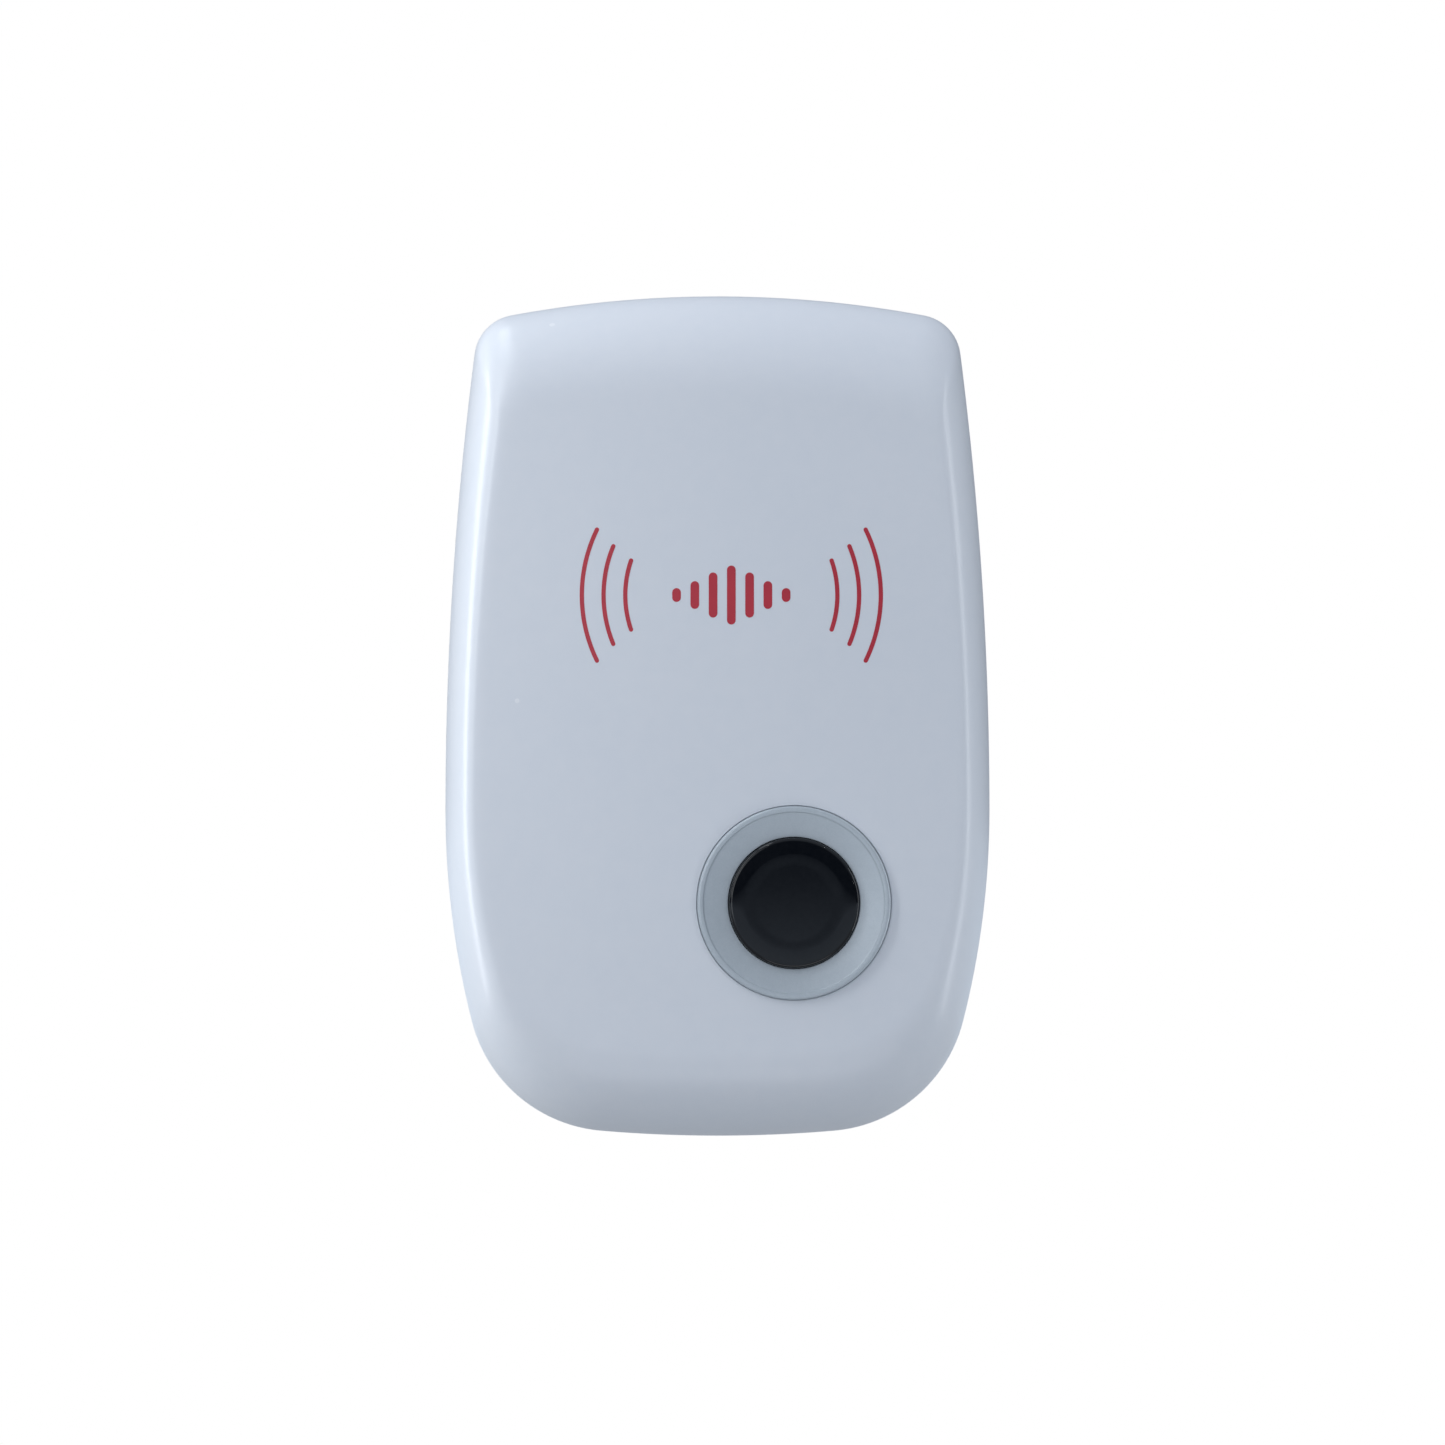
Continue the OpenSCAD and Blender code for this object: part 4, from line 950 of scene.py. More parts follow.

# %% [markdown]
# ### Satin silver lacquer
# Aluminium flake in clear lacquer: half metal, half paint, with a soft clear coat over it. The flakes'
# very fine sparkle is a painted highlight: lighter silver flecks laid into the colour.

# %% Silver lacquer
ring_silver, tree, shader = start_material("ring_silver", Metallic=0.15, Coat_Weight=0.15, Coat_Roughness=0.3)
tint(tree, shader, (0.50, 0.555, 0.595), (0.475, 0.53, 0.57), 120)
flake = add(tree, "TexVoronoi", {"Vector": add(tree, "TexCoord").outputs["Object"], "Scale": 9000})
painted_glint = add(tree, "SeparateColor", {"Color": flake.outputs["Color"]}).outputs[0]
# Painted highlight: each flake cell gets a share of a lighter silver, standing in for the flakes' sparkle.
paint_over(tree, shader, maths(tree, "MULTIPLY", painted_glint, 0.18), (0.66, 0.70, 0.73, 1))
gloss(tree, shader, 0.36, 0.1, 150)
bump(tree, shader, use(tree, grain, {"Scale": 5000, "Waviness": 0.2})["Height"], 1.5e-6)
settle(bezel, ring_silver, "bezel_ring", sharp=40)

# %% [markdown]
# ## Button cap
# A glossy black cap with a rounded edge. Its top is flat, with a very shallow finger rest:
# a flat middle a little lower, joined by a gentle slope that shows only as a faint ring.
# A flange below keeps the cap behind the ring, and a square socket takes the switch's stem.

# %% Cap section
cap_low, cap_high = corners("button_cap")
cap_foot, cap_top = cap_low.z, cap_high.z
CAP_R, CAP_EDGE, CAP_WALL, FLANGE_R, FLANGE_Z = 7.5, 0.4, 1.4, 8.78, 21.234
REST_R, REST_DEPTH, REST_SLOPE = 5.6, 0.002, 1.4
STEM_W, SWITCH_FIT, SOCKET_WALL, STEM_END = 3.2, 0.1, 1.2, 23.734
cap_inside = cap_top - REST_DEPTH - CAP_WALL


def rest_height(radius):
    """The finger rest: flat, then a smooth slope up to the flat border."""
    share = min(max((radius - REST_R + REST_SLOPE) / REST_SLOPE, 0), 1)
    return cap_top - REST_DEPTH * (1 - share * share * (3 - 2 * share))


cap_section = [(0, rest_height(0))] + [(r, rest_height(r)) for r in
               [1.5, 3, 4.2] + [REST_R - REST_SLOPE + REST_SLOPE * i / 10 for i in range(11)]]
cap_section += rounded((CAP_R - CAP_EDGE, cap_top - CAP_EDGE), CAP_EDGE, 90, 0, 12)
cap_section += [(CAP_R, FLANGE_Z), (FLANGE_R - 0.1, FLANGE_Z), (FLANGE_R, FLANGE_Z - 0.1),
                (FLANGE_R, cap_foot), (CAP_R - CAP_WALL, cap_foot), (CAP_R - CAP_WALL, cap_inside - 0.3),
                (CAP_R - CAP_WALL - 0.3, cap_inside), (0, cap_inside)]
cap = make("button", lathe(cap_section, button.xy, 160))
half = STEM_W / 2 + SWITCH_FIT + SOCKET_WALL
carve(cap, "UNION", block((button.x - half, button.y - half, cap_foot),
                          (button.x + half, button.y + half, cap_inside + 0.4)))
half = STEM_W / 2 + SWITCH_FIT
carve(cap, "DIFFERENCE", block((button.x - half, button.y - half, cap_foot - 1),
                               (button.x + half, button.y + half, STEM_END + 0.02)))

# %% [markdown]
# ### Polished black
# Mirror-bright black plastic. Its colour hardly matters: what shows is what it reflects, so
# the roughness is almost nil, with faint fingerprints.

# %% Polished black
cap_black, tree, shader = start_material("cap_black", IOR=1.5, Specular_IOR_Level=0.36)
tint(tree, shader, (0.003, 0.004, 0.006), (0.006, 0.007, 0.009), 200)
gloss(tree, shader, 0.006, 0.006, 260)
bump(tree, shader, use(tree, grain, {"Scale": 600, "Waviness": 0.1})["Height"], 5e-8)
settle(cap, cap_black, "button_cap", body="button", sharp=40)

# %% [markdown]
# ## Print
# A small mark is pad-printed in red on the upper half of the face. Here it is a plain sound
# symbol: a row of level bars with three arcs on each side. Each stroke is a very thin ribbon
# with round ends that follows the crown of the face.

# %% One stroke of the print
PRINT_MIDDLE, PRINT_LOW, PRINT_T = Vector((1.6, 62.9)), 0.002, 0.02


def ribbon(spine, half_w):
    """A thin closed strip along flat points: two long sides, and a half circle at each end."""
    count = len(spine)
    ways = [(spine[min(i + 1, count - 1)] - spine[max(i - 1, 0)]).normalized() for i in range(count)]
    sides = [Vector((-way.y, way.x)) * half_w for way in ways]
    left = [p + side for p, side in zip(spine, sides)]
    right = [p - side for p, side in zip(spine, sides)]

    def end(middle, way, side):
        return [middle + side * math.cos(a) + way * half_w * math.sin(a)
                for a in [math.pi * k / 8 for k in range(1, 8)]]

    far, near = end(spine[-1], ways[-1], sides[-1]), end(spine[0], -ways[0], -sides[0])
    ring = left + far + right[::-1] + near
    n = len(ring)
    points = [(p.x, p.y, crown(p) + z) for z in (PRINT_LOW, PRINT_T) for p in ring]
    back = [count + len(far) + (count - 1 - i) for i in range(count)]
    flat = [(i, i + 1, back[i + 1], back[i]) for i in range(count - 1)]
    flat += [tuple(range(count - 1, count + len(far) + 1)), (*range(back[0], n), 0)]
    walls = [(i, (i + 1) % n, n + (i + 1) % n, n + i) for i in range(n)]
    return points, walls + flat + [tuple(n + i for i in face) for face in flat]


# %% The mark
ARC_LINE, BAR_LINE = 0.5, 1.0
ARC_RADII, ARC_SPREADS = (12.2, 14.7, 17.2), (19, 22.5, 26)
BAR_PITCH, BAR_HEIGHTS = 2.1, (1.6, 3.2, 5.2, 6.8, 5.2, 3.2, 1.6)
strokes = []
for radius, spread in zip(ARC_RADII, ARC_SPREADS):
    for facing in (0, 180):
        angles = [math.radians(facing + spread * (i / 12 - 1)) for i in range(25)]
        strokes.append(ribbon([PRINT_MIDDLE + radius * Vector((math.cos(a), math.sin(a)))
                               for a in angles], ARC_LINE / 2))
for i, tall in enumerate(BAR_HEIGHTS):
    foot = PRINT_MIDDLE + Vector(((i - (len(BAR_HEIGHTS) - 1) / 2) * BAR_PITCH, -tall / 2 + BAR_LINE / 2))
    reach = max(tall - BAR_LINE, 0.2)
    strokes.append(ribbon([foot + Vector((0, reach * k / 6)) for k in range(7)], BAR_LINE / 2))
print_red = plastic("print_red", (0.56, 0.028, 0.05), (0.50, 0.024, 0.045), 0.35, grain_scale=9000,
                    depth=2e-6)
mark = make("face_print", together(*strokes))
settle(mark, print_red)

# %% [markdown]
# ## Inside the case
# The rest is out of sight until the case is opened, and it is built with the same care: screws
# with real threads, a wound coil, components on bent wire legs. A few more tools come first: a
# bar swept along a path, a soft curve through points, and a mesh whose sharp edges are rounded.

# %% Bars, curves and softened edges


def smooth(route, steps=5):
    """A soft curve through the route's points."""
    knots = [Vector(p) for p in route]
    knots = [2 * knots[0] - knots[1], *knots, 2 * knots[-1] - knots[-2]]
    curve = []
    for a, b, c, d in zip(knots, knots[1:], knots[2:], knots[3:]):
        curve += [0.5 * (2 * b + (c - a) * t + (2 * a - 5 * b + 4 * c - d) * t ** 2
                         + (3 * b - a - 3 * c + d) * t ** 3) for t in (i / steps for i in range(steps))]
    return curve + [knots[-2]]


def bar(path, radius, sides=12):
    """A round bar along a path, with its section turning as little as it can."""
    path = [Vector(p) for p in path]
    last = len(path) - 1
    across = (path[1] - path[0]).orthogonal().normalized()
    rings = []
    for i, point in enumerate(path):
        way = (path[min(i + 1, last)] - path[max(i - 1, 0)]).normalized()
        across = (across - across.dot(way) * way).normalized()
        other = way.cross(across)
        rings.append([point + radius * (math.cos(math.tau * k / sides) * across
                                        + math.sin(math.tau * k / sides) * other) for k in range(sides)])
    return stack(rings)


def soften(piece, width, steps=2):
    edge_round = piece.modifiers.new("soft", "BEVEL")
    edge_round.width, edge_round.segments, edge_round.limit_method = width * MM, steps, "ANGLE"
    apply_modifiers(piece)
    return piece


# %% [markdown]
# ## Screws
# Four long screws come in from the back and hold the case, and two short ones hold the board.
# The thread is a real helix: each point's radius depends on how far it has turned as well as
# on its height. The heads have rounded rims and a tapered cross recess.

# %% One screw


def threaded(at, radius, depth, pitch, start, end, sides=20, rise=6):
    """A threaded shank between two heights; it tapers to a blunt point at its end."""
    way = 1 if end > start else -1
    count = int(abs(end - start) / pitch * rise)
    rings = []
    for j in range(count + 1):
        height = start + way * pitch * j / rise
        taper = min(1, 0.35 + (count - j) / (1.5 * rise))
        ring = []
        for k in range(sides):
            turn = (j / rise - way * k / sides) % 1
            r = (radius - depth + depth * max(0, 1 - abs(turn - 0.5) * 3.2)) * taper
            ring.append((at[0] + r * math.cos(math.tau * k / sides),
                         at[1] + r * math.sin(math.tau * k / sides), height))
        rings.append(ring)
    return stack(rings)


def cross(at, arm, half_w, low, high):
    """A cross-shaped tool, narrower at its first height than at its second."""
    def ring(share, z):
        a, w = arm * share, half_w * (0.6 + 0.4 * share)
        turns = [(a, -w), (a, w), (w, w), (w, a), (-w, a), (-w, w), (-a, w), (-a, -w), (-w, -w),
                 (-w, -a), (w, -a), (w, -w)]
        return [(at[0] + x, at[1] + y, z) for x, y in turns]
    return stack([ring(0.55, low), ring(1, high)])


def screw_head(at, radius, seat, top):
    """A pan head between its seat and its top, with a rounded rim."""
    way = 1 if top > seat else -1
    rim_r = 0.55 * abs(top - seat)
    rim = rounded((radius - rim_r, 0), rim_r, 0, 90, 6)
    section = [(0, seat), (radius, seat)] + [(r, top - way * (rim_r - z)) for r, z in rim] + [(0, top)]
    return lathe(section, at, 40)


# %% All the screws
screw_zinc = metal("screw_zinc", (0.62, 0.63, 0.655), (0.55, 0.56, 0.59), 0.3, (3000, 3000, 3000),
                   depth=1.5e-6)
case_low, case_high = corners("case_screws")
board_low, board_high = corners("board_screws")
HEAD_R, HEAD_SEAT, BOARD_TOP, BOARD_HEAD_R = 2.34, 7, 11, 1.9
head_end, board_head_end = case_low.z, board_high.z
heads = make("case_screw_set", together(*[screw_head(p, HEAD_R, HEAD_SEAT, head_end) for p in screws]))
carve(heads, "DIFFERENCE", together(*[cross(p, 1.45, 0.24, head_end + 0.95, head_end - 0.05)
                                      for p in screws]))
carve(heads, "UNION", together(*[threaded(p, 1.28, 0.28, 1.0, HEAD_SEAT - 0.2, case_high.z) for p in screws]))
settle(heads, screw_zinc, "case_screws", sharp=40)
held = [p for p, screwed in board_posts if screwed]
heads = make("board_screw_set",
             together(*[screw_head(p, BOARD_HEAD_R, BOARD_TOP, board_head_end) for p in held]))
carve(heads, "DIFFERENCE", together(*[cross(p, 1.2, 0.22, board_head_end - 0.85, board_head_end + 0.05)
                                      for p in held]))
carve(heads, "UNION", together(*[threaded(p, 0.98, 0.2, 0.8, BOARD_TOP + 0.2, board_low.z, sides=16)
                                 for p in held]))
settle(heads, screw_zinc, "board_screws", sharp=40)

# %% [markdown]
# ## Components
# Each component is a body on tinned legs that go through the board. Legs are round wire: some
# go straight down, and those of parts that lie flat leave the ends and turn down in a bend.

# %% Where the components stand
LEG_R, TAIL_Z, GAP = 0.3, 7.85, 0.2
mains_c, fuse_c, bleed_c = middle("mains_capacitor"), middle("fuse_resistor"), middle("bleed_resistor")
diodes_c, bias_c = middle("rectifier_diodes"), middle("bias_resistors")
smooth_c, filter_c, coil_c = middle("smoothing_capacitor"), middle("filter_capacitor"), middle("coil_core")
chip_c, transistor_c, led_c = middle("controller_chip"), middle("driver_transistor"), middle("indicator_led")
DIODE_PITCH, BIAS_PITCH = 3.8, 3.0
diode_spots = [(diodes_c.x, diodes_c.y + (1.5 - i) * DIODE_PITCH) for i in range(4)]
bias_spots = [(bias_c.x + (i - 1) * BIAS_PITCH, bias_c.y) for i in range(3)]


def pair(c, span, along="x"):
    step = Vector((span / 2, 0)) if along == "x" else Vector((0, span / 2))
    return [(c[0] - step.x, c[1] - step.y), (c[0] + step.x, c[1] + step.y)]


# name: the spots where the legs pass the board, and how high they start
upright = {"mains_capacitor": (pair(mains_c, 10), 11.4), "smoothing_capacitor": (pair(smooth_c, 3.5), 11.6),
           "filter_capacitor": (pair(filter_c, 2.5, "y"), 11.6), "coil": (pair(coil_c, 5, "y"), 11.6),
           "indicator_led": (pair(led_c, 2.5), 11.6),
           "driver_transistor": ([(transistor_c.x + 1.6 * i, 47.25) for i in (-1, 0, 1)], 13.2),
           "switch": ([(button.x + x, button.y + y) for x in (-2.5, 2.5) for y in (-2.5, 0, 2.5)], 11.1)}
# name: centre, span between the legs, body diameter and length, and the way it lies
lying = {"fuse_resistor": ([fuse_c], 13, 3.4, 9, "x"), "bleed_resistor": ([bleed_c], 10, 2.3, 6.3, "x"),
         "rectifier_diodes": (diode_spots, 9, 2.7, 5, "x"), "bias_resistors": (bias_spots, 9, 1.9, 4, "y")}

# %% Legs
tinned_metal = metal("tinned_metal", (0.70, 0.71, 0.73), (0.62, 0.63, 0.66), 0.34, (900, 900, 900),
                     change=0.2)
leg_spots = []


def bent_leg(foot, end, axis_z):
    """From a body's end out, round a bend, and down through the board."""
    bend = 0.7
    out = Vector((foot[0] - end[0], foot[1] - end[1])).normalized()
    start = Vector((*end, axis_z))
    corner = Vector((foot[0] - bend * out.x, foot[1] - bend * out.y, axis_z - bend))
    turn = [corner + Vector((bend * out.x * math.sin(a), bend * out.y * math.sin(a), bend * math.cos(a)))
            for a in (math.radians(15 * i) for i in range(7))]
    return bar([start, *turn, (*foot, BOARD_Z), (*foot, TAIL_Z)], LEG_R, 10)


for name, (spots, top) in upright.items():
    leg_spots += spots
    legs = [bar([(*p, top), (*p, BOARD_Z), (*p, TAIL_Z)], LEG_R, 10) for p in spots]
    settle(make(name + "_legs", together(*legs)), tinned_metal,
           *(["switch_terminals"] if name == "switch" else []))
for name, (centres, span, across, length, along) in lying.items():
    legs = []
    for c in centres:
        ends = pair(c, length - 0.4, along)
        feet = pair(c, span, along)
        leg_spots += feet
        legs += [bent_leg(foot, end, BOARD_TOP + GAP + across / 2) for foot, end in zip(feet, ends)]
    settle(make(name + "_legs", together(*legs)), tinned_metal)
print(len(leg_spots), "legs go through the board")

# %% [markdown]
# ### Resistors and diodes
# A resistor's body is thicker over its end caps, like a bone, and carries painted rings. The
# diodes are plain cylinders with one silver ring at the cathode. The rings are colour only,
# so the shared bands group paints them from the place along the body.

# %% Painted rings


def ringed(name, colour, shade, rough, axis, first, pitch, width, tones):
    """Plastic with painted rings; first and pitch are in bench millimetres along the axis."""
    made = plastic(name, colour, shade, rough, depth=2e-6)
    tree = made.node_tree
    place = add(tree, "SeparateXYZ", {0: add(tree, "TexCoord").outputs["Object"]}).outputs[axis]
    shift = 0 if axis == "X" else foot_z
    rings = use(tree, bands, {"Place": place, "First": first * MM + shift, "Pitch": pitch * MM,
                              "Width": width, "Count": len(tones)})
    paint = add(tree, "ValToRGB", {0: rings["Ring"]})
    paint.color_ramp.interpolation = "CONSTANT"
    while len(paint.color_ramp.elements) < len(tones):
        paint.color_ramp.elements.new(0.5)
    for i, (stop, tone) in enumerate(zip(paint.color_ramp.elements, tones)):
        stop.position, stop.color = max(i - 0.2, 0) / len(tones), (*tone, 1)
    paint_over(tree, tree.nodes["Principled BSDF"], rings["Mask"], paint.outputs[0])
    return made


BROWN, BLACK, RED, GOLD, ORANGE, SILVER = ((0.14, 0.06, 0.03), (0.01, 0.01, 0.01), (0.5, 0.03, 0.02),
                                           (0.45, 0.3, 0.1), (0.8, 0.25, 0.03), (0.62, 0.63, 0.65))
resistor_green = ringed("resistor_green", (0.20, 0.36, 0.26), (0.17, 0.31, 0.23), 0.35, "X",
                        fuse_c.x - 2.4, 1.35, 0.5, (BROWN, BLACK, BLACK, GOLD))
resistor_tan = ringed("resistor_tan", (0.56, 0.37, 0.19), (0.50, 0.33, 0.17), 0.35, "X", bleed_c.x - 1.8,
                      1.0, 0.5, (ORANGE, RED, BROWN, GOLD))
resistor_blue = ringed("resistor_blue", (0.10, 0.26, 0.44), (0.09, 0.23, 0.40), 0.35, "Z",
                       bias_c.y - 1.2, 0.65, 0.5, (RED, BLACK, ORANGE, BROWN))
diode_black = ringed("diode_black", (0.012, 0.012, 0.014), (0.02, 0.02, 0.022), 0.45, "X",
                     diodes_c.x + 1.2, 0.9, 0.95, (SILVER,))

# %% Their bodies


def bone(across, length, waist):
    """Half section of a lacquered body: two rounded ends, and a waist between them."""
    r, half, slim = across / 2, length / 2, across / 2 - waist
    end = rounded((r - 0.45, half - 0.45), 0.45, 90, 0, 6)
    shoulder = [(r, half * 0.62), (slim, half * 0.46)] if waist else []
    top = [(0, half)] + end + shoulder
    return top + [(radius, -z) for radius, z in reversed(top)]


for name, finish, waist in (("fuse_resistor", resistor_green, 0.25), ("bleed_resistor", resistor_tan, 0.18),
                            ("bias_resistors", resistor_blue, 0.14), ("rectifier_diodes", diode_black, 0)):
    centres, span, across, length, along = lying[name]
    bodies = [laid(lathe(bone(across, length, waist), steps=32),
                   (c[0], c[1], BOARD_TOP + GAP + across / 2), along) for c in centres]
    settle(make(name + "_body", together(*bodies)), finish, name, sharp=50)

# %% [markdown]
# ### Capacitors
# The mains capacitor is a box with soft edges. The two electrolytics are aluminium cans in a
# shrunk sleeve: the sleeve wraps over the shoulder, dips into the pressed groove, and leaves
# the top bare, where a cross is scored so that a failing can opens gently.

# %% Box capacitor
capacitor_yellow = plastic("capacitor_yellow", (0.70, 0.42, 0.05), (0.64, 0.38, 0.045), 0.32, depth=3e-6)
low, high = corners("mains_capacitor")
box_body = make("mains_capacitor_box", block((low.x, low.y, BOARD_TOP + GAP), (high.x, high.y, high.z)))
settle(soften(box_body, 0.5, 3), capacitor_yellow, "mains_capacitor", sharp=50)

# %% Cans in sleeves
can_aluminium = metal("can_aluminium", (0.66, 0.67, 0.69), (0.60, 0.61, 0.64), 0.28, (400, 5000, 400))


def stripe(material, centre, tone, half_turn):
    """Paints a stripe down a can, on the side away from the foot of the case."""
    tree = material.node_tree
    place = add(tree, "SeparateXYZ", {0: add(tree, "TexCoord").outputs["Object"]}).outputs
    turn = maths(tree, "ARCTAN2", maths(tree, "SUBTRACT", place["X"], centre.x * MM),
                 maths(tree, "SUBTRACT", place["Z"], foot_z + centre.y * MM))
    mask = use(tree, bands, {"Place": turn, "First": -half_turn, "Pitch": 2 * half_turn, "Width": 1.0,
                             "Count": 1})["Mask"]
    paint_over(tree, tree.nodes["Principled BSDF"], mask, (*tone, 1))
    return material


capacitor_blue = stripe(plastic("capacitor_blue", (0.02, 0.045, 0.17), (0.018, 0.04, 0.15), 0.28),
                        smooth_c, (0.62, 0.66, 0.70), 0.4)
capacitor_black = stripe(plastic("capacitor_black", (0.012, 0.012, 0.015), (0.016, 0.016, 0.02), 0.28),
                         filter_c, (0.50, 0.38, 0.16), 0.4)


def can_capacitor(name, centre, radius, top, finish):
    foot, sleeve = BOARD_TOP + GAP, 0.08
    r = radius - sleeve
    groove = [(r, foot + 1.3), (r - 0.12, foot + 1.55), (r - 0.3, foot + 1.8), (r - 0.12, foot + 2.05),
              (r, foot + 2.3)]
    inner = [(0, foot), (r - 0.35, foot), (r, foot + 0.35), *groove,
             *rounded((r - 0.5, top - 0.5 - sleeve), 0.5, 0, 90, 6)]
    can = make(name + "_can", lathe(inner + [(r - 0.9, top - 0.15), (0, top - 0.15)], centre.xy, 48))
    carve(can, "DIFFERENCE", cross(centre.xy, radius * 0.62, 0.11, top - 0.3, top))
    settle(can, can_aluminium)
    lap = rounded((r - 0.5, top - 0.5 - sleeve), 0.5, 0, 90, 6)
    skin_in = [(r, foot + 0.4), *groove, *lap, (r - 0.75, top - sleeve)]
    skin_out = [(radius, foot + 0.4)] + [(a + sleeve, b) for a, b in groove]
    skin_out += rounded((radius - 0.5, top - 0.5), 0.5, 0, 90, 6) + [(r - 0.75, top)]
    wrap = make(name + "_sleeve", lathe(skin_in + skin_out[::-1], centre.xy, 64))
    settle(wrap, finish, name, sharp=45)


can_capacitor("smoothing_capacitor", smooth_c, 4.0, corners("smoothing_capacitor")[1].z, capacitor_blue)
can_capacitor("filter_capacitor", filter_c, 3.15, corners("filter_capacitor")[1].z, capacitor_black)

# %% [markdown]
# ### Coil
# A ferrite drum with enamelled copper wire wound on its waist. The winding is turned from a
# section with one bump for each turn of the outer layer.

# %% Drum and winding
ferrite = plastic("ferrite", (0.045, 0.045, 0.05), (0.065, 0.064, 0.068), 0.7, grain_scale=6000, depth=2e-5)
copper_wire = metal("copper_wire", (0.72, 0.30, 0.12), (0.62, 0.24, 0.09), 0.3, (500, 500, 500),
                    Coat_Weight=0.5)
drum_foot, drum_top, drum_r, waist_r, rim_t = BOARD_TOP + GAP, corners("coil_core")[1].z, 4.2, 2.0, 1.4
outer_rim = rounded((drum_r - 0.3, drum_top - 0.3), 0.3, 90, 0, 4)
outer_rim += rounded((drum_r - 0.2, drum_top - rim_t + 0.2), 0.2, 0, -90, 3)
lower_rim = [(r, drum_foot + drum_top - z) for r, z in reversed(outer_rim)]
drum = lathe([(0, drum_top)] + outer_rim + [(waist_r, drum_top - rim_t), (waist_r, drum_foot + rim_t)]
             + lower_rim + [(0, drum_foot)], coil_c.xy, 56)
settle(make("coil_drum", drum), ferrite, "coil_core", sharp=50)
wind_low, wind_high, wind_r, COIL_TURNS = drum_foot + rim_t + 0.06, drum_top - rim_t - 0.06, 3.75, 18
wire_r = (wind_high - wind_low) / COIL_TURNS / 2
bumps = [(wind_r - wire_r + wire_r * math.sin(math.radians(a)),
          wind_low + wire_r * (2 * i + 1 - math.cos(math.radians(a)))) for i in range(COIL_TURNS)
         for a in range(0, 180, 30)]
winding = lathe([(waist_r + 0.06, wind_low)] + bumps + [(wind_r - wire_r, wind_high),
                                                        (waist_r + 0.06, wind_high)], coil_c.xy, 56)
settle(make("coil_turns", winding), copper_wire, "coil_winding", sharp=80)

# %% [markdown]
# ### Chip, transistor and lamp
# The chip's moulded body is widest at the middle, where its legs come out; a notch and a
# dimple mark its first leg. Its legs are flat strips, wide above the board and narrow in it.

# %% Chip
chip_black = plastic("chip_black", (0.018, 0.018, 0.02), (0.026, 0.026, 0.028), 0.6, grain_scale=7000,
                     depth=1e-5)
CHIP_W, CHIP_L, CHIP_FOOT, CHIP_T, CHIP_LEG_X, CHIP_PITCH, DRAFT = 6.4, 9.8, 11.5, 3.3, 3.81, 2.54, 0.25


def chip_ring(inset, z):
    w, half = CHIP_W / 2 - inset, CHIP_L / 2 - inset
    return [(chip_c.x + sx * w, chip_c.y + sy * half, z) for sx, sy in ((1, -1), (1, 1), (-1, 1), (-1, -1))]


chip = make("chip_body", stack([chip_ring(DRAFT, CHIP_FOOT), chip_ring(0, CHIP_FOOT + CHIP_T / 2),
                                chip_ring(DRAFT, CHIP_FOOT + CHIP_T)]))
notch = (chip_c.x, chip_c.y + CHIP_L / 2)
dimple = (chip_c.x - 2, chip_c.y + CHIP_L / 2 - 1.5)
top = CHIP_FOOT + CHIP_T
first_leg_marks = [lathe([(0, top - deep), (r, top - deep), (r + 0.05, top + 1), (0, top + 1)], spot, steps)
                   for spot, r, deep, steps in ((notch, 0.9, 0.6, 24), (dimple, 0.45, 0.15, 20))]
carve(chip, "DIFFERENCE", together(*first_leg_marks))
settle(soften(chip, 0.12), chip_black, "controller_chip", sharp=50)


def chip_leg(side, y):
    """A flat leg: each stop is the strip's middle in x and z, the way its thickness lies, and its width."""
    x, z, thick = CHIP_LEG_X, CHIP_FOOT + CHIP_T / 2, 0.25
    stops = [(2.9, z, 0, 1, 1.4), (x - 0.3, z, 0, 1, 1.4), (x - 0.08, z - 0.08, 0.7, 0.7, 1.4),
             (x, z - 0.3, 1, 0, 1.4), (x, CHIP_FOOT + 0.3, 1, 0, 1.4), (x, CHIP_FOOT - 0.1, 1, 0, 0.5),
             (x, TAIL_Z + 0.4, 1, 0, 0.5), (x, TAIL_Z, 1, 0, 0.3)]
    edges = ((0.5, 0.5), (0.5, -0.5), (-0.5, -0.5), (-0.5, 0.5))
    rings = [[(chip_c.x + side * (px + nx * t * thick), y + w * width, pz + nz * t * thick) for t, w in edges]
             for px, pz, nx, nz, width in stops]
    return stack(rings)


chip_rows = [chip_c.y + (i - 1.5) * CHIP_PITCH for i in range(4)]
leg_spots += [(chip_c.x + side * CHIP_LEG_X, y) for side in (-1, 1) for y in chip_rows]
legs = together(*[chip_leg(side, y) for side in (-1, 1) for y in chip_rows])
settle(make("chip_legs", legs), tinned_metal)

# %% Transistor
TRANSISTOR_R, FLAT = 2.3, 1.2
centre_y = corners("driver_transistor")[1].y - TRANSISTOR_R
start = -math.degrees(math.asin(FLAT / TRANSISTOR_R))
half_round = [(transistor_c.x + TRANSISTOR_R * math.cos(math.radians(a)),
               centre_y + TRANSISTOR_R * math.sin(math.radians(a)))
              for a in [start + (180 - 2 * start) * i / 24 for i in range(25)]]
case = make("transistor_body", stack([[(*p, z) for p in half_round] for z in (13, 13 + 2 * TRANSISTOR_R)]))
settle(soften(case, 0.2), chip_black, "driver_transistor", sharp=50)

